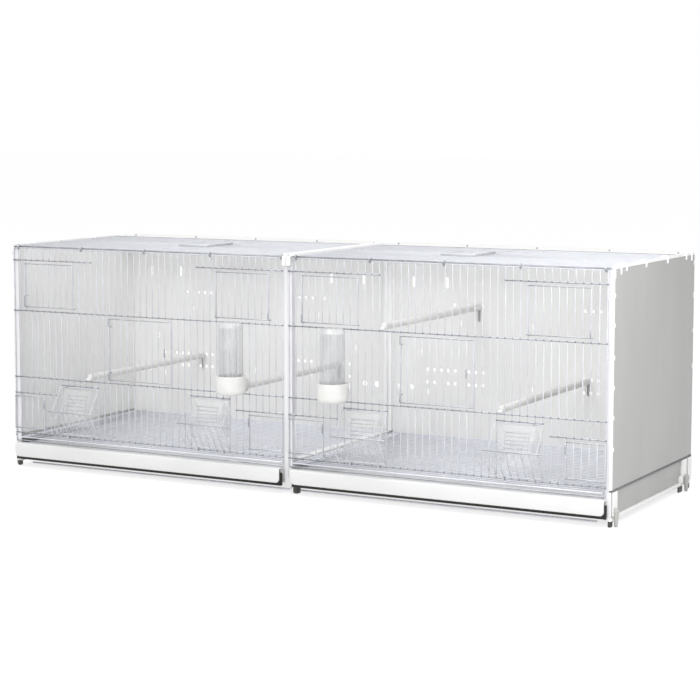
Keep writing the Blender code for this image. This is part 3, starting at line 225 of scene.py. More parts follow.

# A matt grey strip in the joint above the base: painted shade for the groove there
jointGrooveShade = surface("jointGroovePaintedShade", rubber, dict(
    tones=("#77777A", "#636366", 14), flecks=("#8C8C8D", 2, 0.6), grain=(1.0, 0.6, 0.8), relief=(0.4, 0.12)))

# Moulded polypropylene perches: pale warm grey, waxy, scuffed by claws along the top
perchMoulding = surface("mouldedGreyPolypropylene", polypropylene, dict(
    tones=("#E8E8E6", "#DBDBD9", 9), flecks=("#B5B4B1", 2, 0.6), grain=(1.2, 0.4, 0.62), relief=(0.4, 0.15),
    stretch=(1.0, 0.3, 1.0)))

# The perch holders: the same polymer, darker as painted shade for the shadow under the perch's back end
holderPaintedShade = surface("polypropyleneHolderPaintedShade", polypropylene, dict(
    tones=("#CDCCCA", "#BCBBB9", 6), flecks=("#A3A29F", 1.5, 0.6), grain=(0.9, 0.38, 0.58),
    relief=(0.35, 0.12)))

# Louvre bars across the hoods: tinted pale grey, so that the birds see the edge they feed at
louvreMoulding = surface("mouldedTintedPolystyrene", polystyrene, dict(
    tones=("#BDBEC1", "#A9ABAF", 8), flecks=("#9EA0A4", 2, 0.4), grain=(1.0, 0.16, 0.3), relief=(0.2, 0.05),
    haze=(0.70, 0.85, 9, (1.0, 1.0, 1.0))))

# Crystal polystyrene bottle, clear and glossy, with streaks of haze where the melt flowed up the wall
clearStyrene = surface("mouldedCrystalPolystyrene", polystyrene, dict(
    tones=("#D9DBDD", "#BDBFC2", 14), flecks=("#A9ACB1", 4, 0.5), grain=(3.5, 0.05, 0.16), relief=(0.25, 0.12),
    haze=(0.08, 0.30, 5, (1.0, 1.0, 0.04)), stretch=(1.0, 1.0, 0.4)))

# Feeder cups: the same clear polymer in a thin wall, nearly invisible but for its edges
clearCup = surface("mouldedThinCrystalPolystyrene", polystyrene, dict(
    tones=("#E6E8EA", "#D8DADC", 20), flecks=("#C4C7CA", 6, 0.2), grain=(9, 0.06, 0.14), relief=(0.1, 0.1),
    haze=(0.10, 0.20, 12, (1.0, 1.0, 0.3))))

# The drinkers' domes: milkier and whiter than the bottle's wall
milkyStyrene = surface("mouldedMilkyPolystyrene", polystyrene, dict(
    tones=("#EBECEC", "#DCDEDF", 16), flecks=("#C6C9CC", 4, 0.4), grain=(3.0, 0.1, 0.24), relief=(0.25, 0.12),
    haze=(0.22, 0.40, 9, (1.0, 1.0, 0.3))))
print("materials made")


# Shapes

def addObject(name, data):
    thing = bpy.data.objects.new(name, data)
    bpy.context.scene.collection.objects.link(thing)
    return thing


def meshFrom(name, shape):
    mesh = bpy.data.meshes.new(name)
    shape.to_mesh(mesh)
    shape.free()
    return mesh


def makePiece(name, shape, material, nodes=(), body=None, slotName="profile_white", second=None):
    # A smooth-shaded mesh that rides on the body of the nodes it stands for, or else on the cage
    shape.normal_update()
    mesh = meshFrom(name, shape)
    mesh.materials.append(material)
    if second:
        mesh.materials.append(second)
    mesh.shade_smooth()
    piece = addObject(name, mesh)
    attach(piece, body or (nodeBody[nodes[0]] if nodes else "cage"))
    if nodes:
        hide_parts(*nodes)
    return piece


def rounded(piece, width):
    # Real mouldings have no sharp edge, so each edge gets a small radius
    bevel = piece.modifiers.new("edgeRadius", "BEVEL")
    bevel.width = width
    bevel.segments = 2
    bevel.limit_method = "ANGLE"
    bevel.angle_limit = math.radians(35)
    bevel.harden_normals = True
    return piece


def addLoft(shape, rings):
    # Rings of equally many points, joined one to the next and closed at both ends
    rows = [[shape.verts.new(point) for point in ring] for ring in rings]
    for row, following in zip(rows, rows[1:]):
        for place in range(len(row)):
            after = (place + 1) % len(row)
            shape.faces.new((row[place], row[after], following[after], following[place]))
    shape.faces.new(rows[0][::-1])
    shape.faces.new(rows[-1])


def swept(outline, places, axis):
    # One flat outline at each place along an axis
    order = {"X": (2, 0, 1), "Y": (0, 2, 1), "Z": (0, 1, 2)}[axis]
    return [[[(a, b, place)[pick] for pick in order] for a, b in outline] for place in places]


def makeSolid(name, lofts, material, width=None, **kept):
    # Lofts as one piece, with rounded edges where a width is given
    shape = bmesh.new()
    for rings in lofts:
        addLoft(shape, rings)
    piece = makePiece(name, shape, material, **kept)
    return rounded(piece, width) if width else piece


def turns(corners):
    return [2 * math.pi * corner / corners for corner in range(corners)]


def addTube(shape, points, radius, corners=10, tip=0.4, tipShare=0.55):
    # A round wire along the points, with its cut ends slightly rounded
    points = [Vector(point) for point in points]
    steps = [after - before for before, after in zip(points, points[1:])]
    ways = [(one.normalized() + other.normalized()).normalized()
            for one, other in zip(steps[:1] + steps, steps + steps[-1:])]
    stations = [(points[0], ways[0], tipShare), (points[0] + ways[0] * radius * tip, ways[0], 1.0)]
    stations += [(point, way, 1.0) for point, way in zip(points[1:-1], ways[1:-1])]
    stations += [(points[-1] - ways[-1] * radius * tip, ways[-1], 1.0), (points[-1], ways[-1], tipShare)]
    across = ways[0].orthogonal()
    rings = []
    for centre, way, share in stations:
        across = (across - way * across.dot(way)).normalized()
        up = way.cross(across)
        rings.append([centre + (across * math.cos(t) + up * math.sin(t)) * radius * share
                      for t in turns(corners)])
    addLoft(shape, rings)


def straight(x, y, z, radius):
    # A straight wire: whichever of x, y and z is a pair is the way it runs
    ends = [[place[end] if isinstance(place, tuple) else place for place in (x, y, z)] for end in (0, 1)]
    return ends, radius


def crossWires(look, ends, height, places):
    # Wires from front to back, a little longer than the row of wires that they hold
    span = (ends[0] - look["crossPast"], ends[1] + look["crossPast"])
    return [straight(x, span, height, look["edgeRadius"]) for x in places]


def bent(points, radius, steps=6):
    # The points of a wire whose corners are bent round a former
    points = [Vector(point) for point in points]
    path = [points[0]]
    for before, corner, after in zip(points, points[1:], points[2:]):
        start = corner + (before - corner).normalized() * radius
        end = corner + (after - corner).normalized() * radius
        for step in range(steps + 1):
            t = step / steps
            path.append(start.lerp(corner, t).lerp(corner.lerp(end, t), t))
    return path + [points[-1]]


def coil(centre, radii, rounds, length, axis="X", start=0.0, steps=14):
    # The points of a wire wound round an upright (Z) or a rail (X)
    points = []
    count = round(rounds * steps)
    for step in range(count + 1):
        angle = start + 2 * math.pi * step / steps
        a, b = radii[0] * math.cos(angle), radii[1] * math.sin(angle)
        c = length * (step / count - 0.5)
        points.append(Vector(centre) + Vector((a, b, c) if axis == "Z" else (c, a, b)))
    return points


unshadedFaceRise = 0.2  # faces that look further up than this keep the white coat; the rest take the darker painted shade


def wirework(name, wires, material, nodes=(), body=None, slotName="wire_white", upper=None):
    # Wires given as (points, radius), as one welded piece; given upper, the faces that look up take it and the rest
    # keep the material, as painted shade below
    shape = bmesh.new()
    for points, radius in wires:
        addTube(shape, points, radius)
    if upper:
        shape.normal_update()
        for face in shape.faces:
            face.material_index = int(face.normal.z > unshadedFaceRise)
    return makePiece(name, shape, material, nodes, body, slotName, upper)


def cadShape(node):
    # The node's own mesh with its points joined
    shape = bmesh.new()
    shape.from_mesh(frame["nodes"][node].data)
    bmesh.ops.remove_doubles(shape, verts=shape.verts, dist=0.00002)
    return shape


def moulded(node, material, width, slotName="profile_white", second=None, isSecond=None, lift=0.0):
    # The node's own shape with its edges rounded; isSecond picks the faces that take the second material
    shape = cadShape(node)
    bmesh.ops.dissolve_limit(shape, angle_limit=math.radians(0.5), verts=shape.verts, edges=shape.edges)
    for vert in shape.verts:
        vert.co.z = max(vert.co.z, lift)
    shape.normal_update()
    for face in shape.faces:
        face.material_index = int(bool(isSecond) and isSecond(face.calc_center_median(), face.normal))
    rounded(makePiece(node + "_moulding", shape, material, (node,), slotName=slotName, second=second), width)


def arc(centre, radius, first, last, steps=6):
    # Points of an outline's rounded corner, from one angle to another in degrees
    angles = [math.radians(spread((first, last), step, steps + 1)) for step in range(steps + 1)]
    return [(centre[0] + radius * math.cos(t), centre[1] + radius * math.sin(t)) for t in angles]


def roundedOutline(aSpan, bSpan, radius, steps=4):
    # A rectangle with rounded corners, counter-clockwise
    a0, a1 = aSpan[0] + radius, aSpan[1] - radius
    b0, b1 = bSpan[0] + radius, bSpan[1] - radius
    return (arc((a1, b0), radius, -90, 0, steps) + arc((a1, b1), radius, 0, 90, steps)
            + arc((a0, b1), radius, 90, 180, steps) + arc((a0, b0), radius, 180, 270, steps))


def addTurned(shape, profile, centre, steps):
    # A closed (radius, height) outline spun round an upright axis
    rings = []
    for radius, height in profile:
        place = Vector(centre) + Vector((0.0, 0.0, height))
        if radius < 0.00005:
            rings.append([shape.verts.new(place)] * steps)
            continue
        rings.append([shape.verts.new(place + Vector((math.cos(t), math.sin(t), 0.0)) * radius)
                      for t in turns(steps)])
    for ring, following in zip(rings, rings[1:] + rings[:1]):
        for step in range(steps):
            after = (step + 1) % steps
            corners = [ring[step], ring[after], following[after], following[step]]
            corners = [corner for place, corner in enumerate(corners) if corner not in corners[:place]]
            if len(corners) > 2:
                shape.faces.new(corners)


# Wire fronts: pale uprights broken at each doorway, welded to rails over and under the doorways that are darker
# below with painted shade

gridLook = dict(
    uprightRadius=0.001, railRadius=0.0012, uprightDepth=0.001, railDepth=0.0014, past=0.001,
    topEnd=0.4171, beadRadius=0.0018, beadDepth=0.0004, beadFlat=0.7)
# Each doorway at a bay's left end: its first upright, how many pitches wide, and the rails under and over it
doorways = dict(
    main=(16, 10, "lower", "upper"), nest=(2, 8, "upper", "nest"), bath=(0, 5, "bottom", "bath"),
    feeder=(8, 6, "bottom", "feeder"))


def doorwayRuns(kind):
    # All doorways but the main one are there twice in each bay
    start, pitches = doorways[kind][:2]
    return [(start, start + pitches)] if kind == "main" else mirrored(start, pitches)


def frontUprights(side):
    gaps = [(levels[low], levels[high], first, last) for kind, (_, _, low, high) in doorways.items()
            for first, last in doorwayRuns(kind)]
    past = gridLook["past"]
    wires = []
    for index in range(uprightCount):
        x = uprightPlace(side, index)
        ends = [levels["sill" if index in (0, uprightCount - 1) else "bottom"] - past]
        for low, high, first, last in sorted(gaps):
            if first < index < last:
                ends += [low + past, high - past]
        ends.append(gridLook["topEnd"])
        # A doorway that starts at the lowest rail leaves no stub below it
        wires += [straight(x, front + gridLook["uprightDepth"], (low, high), gridLook["uprightRadius"])
                  for low, high in zip(ends[::2], ends[1::2]) if high - low > 3 * past]
    return wires


def frontRuns():
    # Each rail's name, with the uprights at its ends
    runs = [(name, 0, uprightCount - 1) for name in ("sill", "bottom", "lower", "upper", "top")]
    for name, start, pitches in (("nest", 0, 13), ("bath", 0, 7), ("feeder", 8, 6)):
        runs += [(name, first, last) for first, last in mirrored(start, pitches)]
    return runs


for side in sides:
    look = gridLook
    wirework("frontUprights_" + side, frontUprights(side), coatedWire, ("front_grid_" + side,))
    rails, topRails = [], []
    beads = bmesh.new()
    for name, first, last in frontRuns():
        ends = (uprightPlace(side, first) - look["past"], uprightPlace(side, last) + look["past"])
        rail = straight(ends, front + look["railDepth"], levels[name], look["railRadius"])
        (topRails if name == "top" else rails).append(rail)
        if name not in ("sill", "top"):
            for index in range(first, last + 1):
                # A small weld bead, flattened from front to back
                spot = (uprightPlace(side, index), front + look["beadDepth"], levels[name])
                matrix = Matrix.Translation(spot) @ Matrix.Diagonal((1.0, look["beadFlat"], 1.0, 1.0))
                bmesh.ops.create_icosphere(beads, subdivisions=1, radius=look["beadRadius"], matrix=matrix)
    # The rails are white on top and darker below, where the darker wire is painted shade
    wirework("frontRails_" + side, rails, wirePaintedShade, upper=coatedWire)
    # The top rail, under the roof's front wire in dark painted shade, is white all round
    wirework("frontTopRail_" + side, topRails, coatedWire)
    makePiece("frontWelds_" + side, beads, weldBead, slotName="wire_white")
print("fronts made")


# Roofs: long wires from end to end, open at the hatch, held by cross wires

roofLook = dict(
    rows=23, depth=(-0.1705, 0.2204), height=0.4188, rowRadius=0.001, edgeRadius=0.0012, inner=0.0083,
    outer=0.5967, crossInset=0.0015, crossPast=0.0012, hatchRows=(8, 13), hatchWidth=0.061,
    hatchShift=dict(left=0.0185, right=-0.042))
roofRows = [spread(roofLook["depth"], row, roofLook["rows"]) for row in range(roofLook["rows"])]


def roofEnds(side):
    return bayEnds(side, roofLook["inner"], roofLook["outer"])


def hatchMiddle(side):
    return sum(roofEnds(side)) / 2 + roofLook["hatchShift"][side]


def roofWires(side):
    look = roofLook
    low, high = roofEnds(side)
    gap = [hatchMiddle(side) + way * look["hatchWidth"] / 2 for way in (-1, 1)]
    firstRow, lastRow = look["hatchRows"]
    wires = []
    for row, y in enumerate(roofRows[1:], 1):
        radius = look["edgeRadius" if row == look["rows"] - 1 else "rowRadius"]
        runs = [(low, gap[0]), (gap[1], high)] if firstRow < row < lastRow else [(low, high)]
        wires += [straight(run, y, look["height"], radius) for run in runs]
    places = (low + look["crossInset"], *gap, high - look["crossInset"])
    return wires + crossWires(look, (roofRows[0], roofRows[-1]), look["height"], places)


# Each hatch is a lid of the same wire, with a second wire standing on its front and right edges
hatchLook = dict(
    half=0.032, overlap=0.003, rear=-0.0037, height=0.4213, wire=0.001, rimHeight=0.423, rim=0.0009,
    rimEnd=-0.0055, rimBend=0.003, loopSpread=0.018, loopRadius=0.0029, loopWire=0.0007, loopRounds=2.0,
    loopWidth=0.0028)

for side in sides:
    wirework("roofWires_" + side, roofWires(side), roofWire, ("roof_grid_" + side,))
    frontWire = straight(roofEnds(side), roofRows[0], roofLook["height"], roofLook["edgeRadius"])
    # The roof's front wire is dark all round: painted shade
    wirework("roofFrontWire_" + side, [frontWire], wirePaintedShade)
    look = hatchLook
    firstRow, lastRow = roofLook["hatchRows"]
    x, hinge, height = hatchMiddle(side), roofRows[lastRow], look["height"]
    nose, heel = roofRows[firstRow] - look["overlap"], hinge + look["rear"]
    left, right = x - look["half"], x + look["half"]
    rows = [straight((left, right), y, height, look["wire"]) for y in roofRows[firstRow + 1:lastRow]]
    edges = [straight((left, right), y, height, look["wire"]) for y in (nose, heel)]
    edges += [straight(place, (nose, heel), height, look["wire"]) for place in (left, right)]
    loops = [(coil((x + way * look["loopSpread"], hinge, roofLook["height"]), (look["loopRadius"],) * 2,
                   look["loopRounds"], look["loopWidth"]), look["loopWire"]) for way in (-1, 1)]
    lid = "roof_hatch_" + side
    wirework("hatchWires_" + side, rows + loops, coatedWire, (lid,))
    wirework("hatchFrame_" + side, edges, coatedWire, body=lid)
    rim = [(x, y, look["rimHeight"]) for x, y in ((left, nose), (right, nose), (right, hinge + look["rimEnd"]))]
    wirework("hatchRim_" + side, [(bent(rim, look["rimBend"]), look["rim"])], zincWire, body=lid)
print("roofs made")


# Clips that tie the roofs down: loops in front, hooks over the sides and staples through the rear flap

clipLook = dict(
    front=(-0.5846, -0.4404, -0.2999, -0.1586, -0.0110, 0.0174, 0.1626, 0.3013, 0.4395, 0.5872),
    loopWire=0.0008, loopRadii=(0.0027, 0.0044), loopMiddle=0.4174, loopRounds=1.5, loopWidth=0.0034, loopStart=1.0,
    side=(-0.1415, -0.117, -0.0245, 0.081, 0.179, 0.208), long=(-0.1415, 0.208), hookWire=0.0018,
    hook=((0.589, 0.4206), (0.592, 0.4232), (0.601, 0.4232)), hookEnd=0.4112, longEnd=0.4075, hookBend=0.0025,
    rear=(-0.5600, -0.4150, -0.2762, -0.1378, -0.0140, 0.0385, 0.1806, 0.3196, 0.4585, 0.5860),
    staple=((0.1790, 0.4205), (0.1790, 0.4233), (0.1815, 0.4233), (0.1815, 0.4205)), stapleWire=0.0011,
    stapleBend=0.001)

# An oval turn of wire round the roof's front wire and the front's top rail
loops = [(coil((x, roofRows[0], clipLook["loopMiddle"]), clipLook["loopRadii"], clipLook["loopRounds"],
               clipLook["loopWidth"], start=clipLook["loopStart"]), clipLook["loopWire"])
         for x in clipLook["front"]]
# White on top, with painted shade below
wirework("roofClips", loops, wirePaintedShade, upper=coatedWire)
hooks = []
for way in (-1, 1):
    for y in clipLook["side"]:
        out = clipLook["hook"][-1][0]
        end = clipLook["longEnd" if y in clipLook["long"] else "hookEnd"]
        hook = [(way * x, y, z) for x, z in (*clipLook["hook"], (out, end))]
        hooks.append((bent(hook, clipLook["hookBend"]), clipLook["hookWire"]))
wirework("roofHooks", hooks, profilePaintedLight, slotName="profile_white")
staples = [(bent([(x, y, z) for y, z in clipLook["staple"]], clipLook["stapleBend"]), clipLook["stapleWire"])
           for x in clipLook["rear"]]
# The rear staples are dark: painted shade
wirework("rearHooks", staples, wirePaintedShade)
print("roof clips made")


# Floor grilles: zinc wires along the bay on three cross wires, over the trays

grilleLook = dict(
    rows=29, depth=(-0.1715, 0.2167), rowHeight=0.0565, edgeHeight=0.0562, rowRadius=0.001,
    edgeRadius=0.0012, inner=0.0112, outer=0.5854, crossInset=0.0015, crossPast=0.0012)

for side in sides:
    look = grilleLook
    low, high = bayEnds(side, look["inner"], look["outer"])
    wires = []
    for row in range(look["rows"]):
        kind = "edge" if row in (0, look["rows"] - 1) else "row"
        wires.append(straight((low, high), spread(look["depth"], row, look["rows"]), look[kind + "Height"],
                              look[kind + "Radius"]))
    places = (low + look["crossInset"], (low + high) / 2, high - look["crossInset"])
    wires += crossWires(look, look["depth"], look["edgeHeight"], places)
    wirework("floorGrille_" + side, wires, zincWire, ("floor_grille_" + side,), slotName="zinc")
print("floor grilles made")


# Doors: small panels of wire that slide or swing in front of the grid

doorLook = dict(
    depth=-0.002, radius=0.001, past=0.001, railInset=0.0015, ringRadius=0.0029, ringWire=0.0007,
    ringHeight=0.003, ringDepth=0.0012, ringRounds=2.25, ringLength=0.0022, catchWire=0.0009,
    catchDepth=-0.0036, catchFoot=0.002, catchBend=0.001, tipRise=0.0006)
# For each kind, how far the door stays off the rails and where its catches and rings sit on its height
doorKinds = dict(
    nest=dict(gaps=(0.0065, 0.005), catch=(0.0015, 0.015, 0.0), tallCatch=(0.0015, 0.0225, 0.011)),
    bath=dict(gaps=(0.0085, 0.005), catch=(0.04, 0.057)),
    main=dict(gaps=(0.005, 0.005), rings=(0.014, 0.017), shank=(0.0015, 0.015), catchHalf=0.008))


def doorRing(x, z):
    # A wire end wound twice round the upright behind the door
    look = doorLook
    centre = (x, front + look["ringDepth"], z + look["ringHeight"] / 2)
    return coil(centre, (look["ringRadius"],) * 2, look["ringRounds"], look["ringLength"], "Z",
                -math.pi / 2), look["ringWire"]


def doorCatch(x, low, high, tip=0.0):
    # A wire that stands up the door's edge and may be bent over at its top as a finger hold
    y = front + doorLook["catchDepth"]
    points = [(x, front + doorLook["depth"], low), (x, y, low + doorLook["catchFoot"]), (x, y, high)]
    if tip:
        points.append((x + tip, y, high + doorLook["tipRise"]))
    return bent(points, doorLook["catchBend"], 4), doorLook["catchWire"]


def doorPlace(side, kind, first, last):
    # The uprights that a door spans, and its lower and upper end
    lowGap, highGap = doorKinds[kind]["gaps"]
    lowRail, highRail = doorways[kind][2:]
    places = [uprightPlace(side, index) for index in range(first, last + 1)]
    return places, levels[lowRail] + lowGap, levels[highRail] - highGap


def makeDoor(name, node, places, low, high, rings, catches):
    look = doorLook
    y = front + look["depth"]
    uprights = [straight(x, y, (low, high), look["radius"]) for x in places]
    wirework(name + "Uprights", uprights, coatedWire, (node,))
    ends = (places[0] - look["past"], places[-1] + look["past"])
    rails = [straight(ends, y, z, look["radius"]) for z in (low + look["railInset"], high - look["railInset"])]
    # Rails, rings and catches: white on top, with painted shade below
    wirework(name + "Rails", rails + rings + catches, wirePaintedShade, body=nodeBody[node], upper=coatedWire)


for bayNumber, side in enumerate(sides):
    for end, (first, last) in enumerate(doorwayRuns("nest")):
        number = 2 * bayNumber + end + 1
        look = doorKinds["nest"]
        places, low, high = doorPlace(side, "nest", first, last)
        rings = [doorRing(x, low) for x in (places[0], places[-1])]
        # The first door's catch is a tall one that is bent over
        foot, top, tip = look["catch" if number > 1 else "tallCatch"]
        catch = doorCatch(places[-1] if end else places[0], low + foot, low + top, tip)
        makeDoor(f"nestDoor_{number}_", f"nest_door_{number}", places, low, high, rings, [catch])
    for end, (first, last) in enumerate(doorwayRuns("bath")):
        number = 2 * bayNumber + end + 1
        places, low, high = doorPlace(side, "bath", first, last)
        free = places[0] if end else places[-1]
        catch = doorCatch(free, *(low + rise for rise in doorKinds["bath"]["catch"]))
        ring = doorRing(free, low)
        makeDoor(f"bathDoor_{number}_", f"bath_door_{number}", places, low, high, [ring], [catch])
    look = doorKinds["main"]
    places, low, high = doorPlace(side, "main", *doorwayRuns("main")[0])
    # The hinge loops are the ends of a wire that runs a little way up and down the door's left edge
    rings = [doorRing(places[0], z) for z in (low + look["rings"][0], high - look["rings"][1])]
    near, far = look["shank"]
    middle = (low + high) / 2
    catches = [doorCatch(places[0], low + near, low + far), doorCatch(places[0], high - far, high - near),
               doorCatch(places[-2], middle - look["catchHalf"], middle + look["catchHalf"])]
    makeDoor(f"mainDoor_{side}_", "main_door_" + side, places, low, high, rings, catches)
print("doors made")


# Feeders: a tilting bracket of bent wire that carries a clear louvred cup

feederLook = dict(
    axisDepth=0.0012, radius=0.001, lean=(-0.0312, 0.05), length=0.05894, heel=0.006, foot=0.0034,
    past=0.001, overhang=0.0115, legIn=0.003, legRise=0.004, legBend=0.0035, headDepth=-0.003,
    headRise=0.094, headOverhang=0.002, headBend=0.003, ringRadius=0.0033, ringWire=0.0008, ringRounds=2.0,
    ringLength=0.0022, ringStart=120, clipWire=0.0013, clipHalf=0.004, clipPlace=(0.029, -0.0006, 0.0002),
    cupEdge=0.0004)


def feederWires(axis, outward):
    look = feederLook
    way = Vector((0.0, *look["lean"])).normalized()
    bar, heel, foot = (axis + way * look[name] for name in ("length", "heel", "foot"))
    head = axis + Vector((0.0, look["headDepth"], look["headRise"]))
    places = [step * pitch for step in range(-3, 4)]

    def beside(point, x):
        return point + Vector((x, 0.0, 0.0))

    slats, frameWires = [], []
    for index, x in enumerate(places):
        ringed = index in (1, 5)
        slats.append(([beside(foot if ringed else heel, x), beside(bar, x)], look["radius"]))
        if ringed:
            ring = coil(beside(axis, x), (look["ringRadius"],) * 2, look["ringRounds"], look["ringLength"],
                        start=math.radians(look["ringStart"]))
            frameWires.append((ring, look["ringWire"]))
    ends = (places[0] - look["past"], places[-1] + look["past"])
    frameWires.append(([beside(heel, x) for x in ends], look["radius"]))
    # The front bar runs past the basket, and a leg stands beside it at the left
    left, right = places[0] - look["overhang"], places[-1] + look["overhang"]
    leg = [beside(heel, left + look["legIn"]), beside(heel, left) + way * look["legRise"], beside(bar, left)]
    slats.append((bent(leg, look["legBend"]), look["radius"]))
    barWires = [([beside(bar, x) for x in (left, right)], look["radius"])]
    first, last = places[0] - look["headOverhang"], places[-1] + look["headOverhang"]
    hoop = [beside(bar, first), beside(head, first), beside(head, last), beside(bar, last)]
    frameWires.append((bent(hoop, look["headBend"]), look["radius"]))
    # Near one end, the hoop's top wire carries a short spring clip that holds it to the rail above
    shift, *offset = look["clipPlace"]
    middle = head + Vector((outward * shift, *offset))
    barWires.append(([beside(middle, x) for x in (-look["clipHalf"], look["clipHalf"])], look["clipWire"]))
    return slats, frameWires, barWires


# Louvres on the hood's sloping face, from the top one to the bottom one
louvreLook = dict(
    count=5, half=0.021, thick=0.00055, deep=0.0016, high=(-0.1806, 0.1440), low=(-0.1860, 0.1180),
    postPast=0.12, postCorners=8)

for bayNumber, side in enumerate(sides):
    for end, (first, last) in enumerate(doorwayRuns("feeder")):
        number = 2 * bayNumber + end + 1
        x = (uprightPlace(side, first) + uprightPlace(side, last)) / 2
        axis = Vector((x, front + feederLook["axisDepth"], levels["bottom"]))
        slats, frameWires, barWires = feederWires(axis, 1 if end else -1)
        frameNode, cupNode = f"feeder_frame_{number}", f"feeder_cup_{number}"
        wirework(f"feederSlats_{number}", slats, coatedWire, (frameNode,))
        wirework(f"feederBracket_{number}", frameWires, coatedWire, body=nodeBody[frameNode])
        # White on top, with painted shade below
        wirework(f"feederBar_{number}", barWires, wirePaintedShade, body=nodeBody[frameNode], upper=coatedWire)
        moulded(cupNode, clearCup, feederLook["cupEdge"], "clear")
        look = louvreLook
        thick, deep = look["thick"], look["deep"]
        fall = Vector((0.0, look["low"][0] - look["high"][0], look["low"][1] - look["high"][1]))
        spanX = (x - look["half"], x + look["half"])
        shape = bmesh.new()
        for step in range(look["count"]):
            _, y, z = Vector((x, *look["high"])) + fall * (step / (look["count"] - 1))
            outline = arc((y, z), thick, 90, 270) + [(y + deep, z - thick), (y + deep, z + thick)]
            addLoft(shape, swept(outline, spanX, "X"))
        for place in spanX:
            top, bottom = (Vector((place, *look[height])) for height in ("high", "low"))
            post = [top - fall * look["postPast"], bottom + fall * look["postPast"]]
            addTube(shape, post, thick, look["postCorners"])
        makePiece(f"feederLouvres_{number}", shape, louvreMoulding, body=nodeBody[cupNode], slotName="clear")
print("feeders made")


# Drinkers: a clear bottle upside down in a white cup with a spout through the wires

drinkerLook = dict(
    seat=0.1738, steps=72, tubeBase=0.021, domeStart=0.096,
    # Closed outlines of radius and height
    cup=[(0.0, 0.0015), (0.0165, 0.0015), (0.0170, 0.0)] + arc((0.0175, 0.0095), 0.0095, -90, 0, 8)
    + [(0.0270, 0.0315)] + arc((0.0257, 0.0324), 0.0013, 0, 180)
    + [(0.0226, 0.0310), (0.0225, 0.0207), (0.0190, 0.0206), (0.0190, 0.0080), (0.0160, 0.0030), (0.0, 0.0030)],
    tube=[(0.0220, 0.0)] + arc((0.0120, 0.0980), 0.0100, 0, 90, 8) + [(0.0, 0.1080)]
    + [(0.0, 0.1067)] + arc((0.0120, 0.0980), 0.0087, 90, 0, 8) + [(0.0207, 0.0)],
    # The spout's rings: half width, span behind the cup's middle, height and corner radius
    spout=((0.0035, (0.0235, 0.0520), 0.0000, 0.0020), (0.0045, (0.0230, 0.0530), 0.0020, 0.0025),
           (0.0045, (0.0230, 0.0530), 0.0214, 0.0025), (0.0042, (0.0233, 0.0527), 0.0220, 0.0022),
           (0.0033, (0.0318, 0.0516), 0.0220, 0.0018), (0.0031, (0.0320, 0.0514), 0.0212, 0.0016),
           (0.0031, (0.0320, 0.0514), 0.0050, 0.0016)))

for side in sides:
    look = drinkerLook
    cupNode, tubeNode = "drinker_cup_" + side, "drinker_tube_" + side
    low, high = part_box(tubeNode)
    x, y, z = centre = Vector(((low.x + high.x) / 2, (low.y + high.y) / 2, look["seat"]))
    shape = bmesh.new()
    addTurned(shape, look["cup"], centre, look["steps"])
    makePiece("drinkerCup_" + side, shape, cupMoulding, (cupNode,))
    # The spout reaches through the wires to the birds: a small open trough on the cup's rear
    rings = [[(a, b, z + height) for a, b in roundedOutline((x - half, x + half), (y + near, y + far), radius)]
             for half, (near, far), height, radius in look["spout"]]
    makeSolid("drinkerSpout_" + side, [rings], cupMoulding, body=nodeBody[cupNode])
    shape = bmesh.new()
    addTurned(shape, look["tube"], centre + Vector((0.0, 0.0, look["tubeBase"])), look["steps"])
    for face in shape.faces:
        height = face.calc_center_median().z - z - look["tubeBase"]
        face.material_index = int(height > look["domeStart"])
    makePiece("drinkerTube_" + side, shape, clearStyrene, (tubeNode,), slotName="clear", second=milkyStyrene)
print("drinkers made")


# Perches: fluted bars from front to back, with a tongue over the rail and a holder on the back wall

perchLook = dict(
    radius=0.006, flute=0.0005, flutes=12, stepsPerFlute=6, start=-0.1693, end=0.2219, tipLength=0.0012,
    tipShare=0.86, tongueHalf=0.0035, tongueHeight=(-0.006, -0.001), tongueDepth=(-0.176, -0.164),
    tongueRadius=0.0012, tabHalf=0.0017, tabHeight=(-0.027, 0.0055), tabDepth=0.003, tabRadius=0.002,
    tabEdge=0.0005)

for number in range(1, 5):
    look = perchLook
    low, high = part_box(f"perch_{number}")
    x, z = (low.x + high.x) / 2, high.z - look["radius"]
    start, end, tip = look["start"], look["end"], look["tipLength"]
    rings = []
    for y, share in ((start, look["tipShare"]), (start + tip, 1.0), (end - tip, 1.0), (end, look["tipShare"])):
        ring = []
        for t in turns(look["stepsPerFlute"] * look["flutes"]):
            radius = (look["radius"] - look["flute"] * (0.5 + 0.5 * math.cos(look["flutes"] * t)) ** 3) * share
            ring.append((x + radius * math.cos(t), y, z + radius * math.sin(t)))
        rings.append(ring)
    tongue, tab = (roundedOutline((x - look[name + "Half"], x + look[name + "Half"]),
                                  [z + rise for rise in look[name + "Height"]], look[name + "Radius"], 3)
                   for name in ("tongue", "tab"))
    makeSolid(f"perchBar_{number}", [rings, swept(tongue, look["tongueDepth"], "Y")], perchMoulding,
              nodes=(f"perch_{number}",), slotName="perch")
    makeSolid(f"perchHolder_{number}", [swept(tab, (end - look["tabDepth"], end), "Y")], holderPaintedShade,
              look["tabEdge"], slotName="perch")
print("perches made")


# Back sheets: the punched holes are those of the CAD sheet, with round ends

backLook = dict(
    front=0.2222, rear=0.2247, low=0.0168, foldFront=0.17, foldLow=0.4203, foldEdge=0.0008,
    ridgeFront=0.215, ridge=0.4228, bevel=(0.0015, 0.001), near=0.002, squarish=1.3, cornerRadius=0.001,
    over=0.004, shy=0.00001, edge=0.0003)


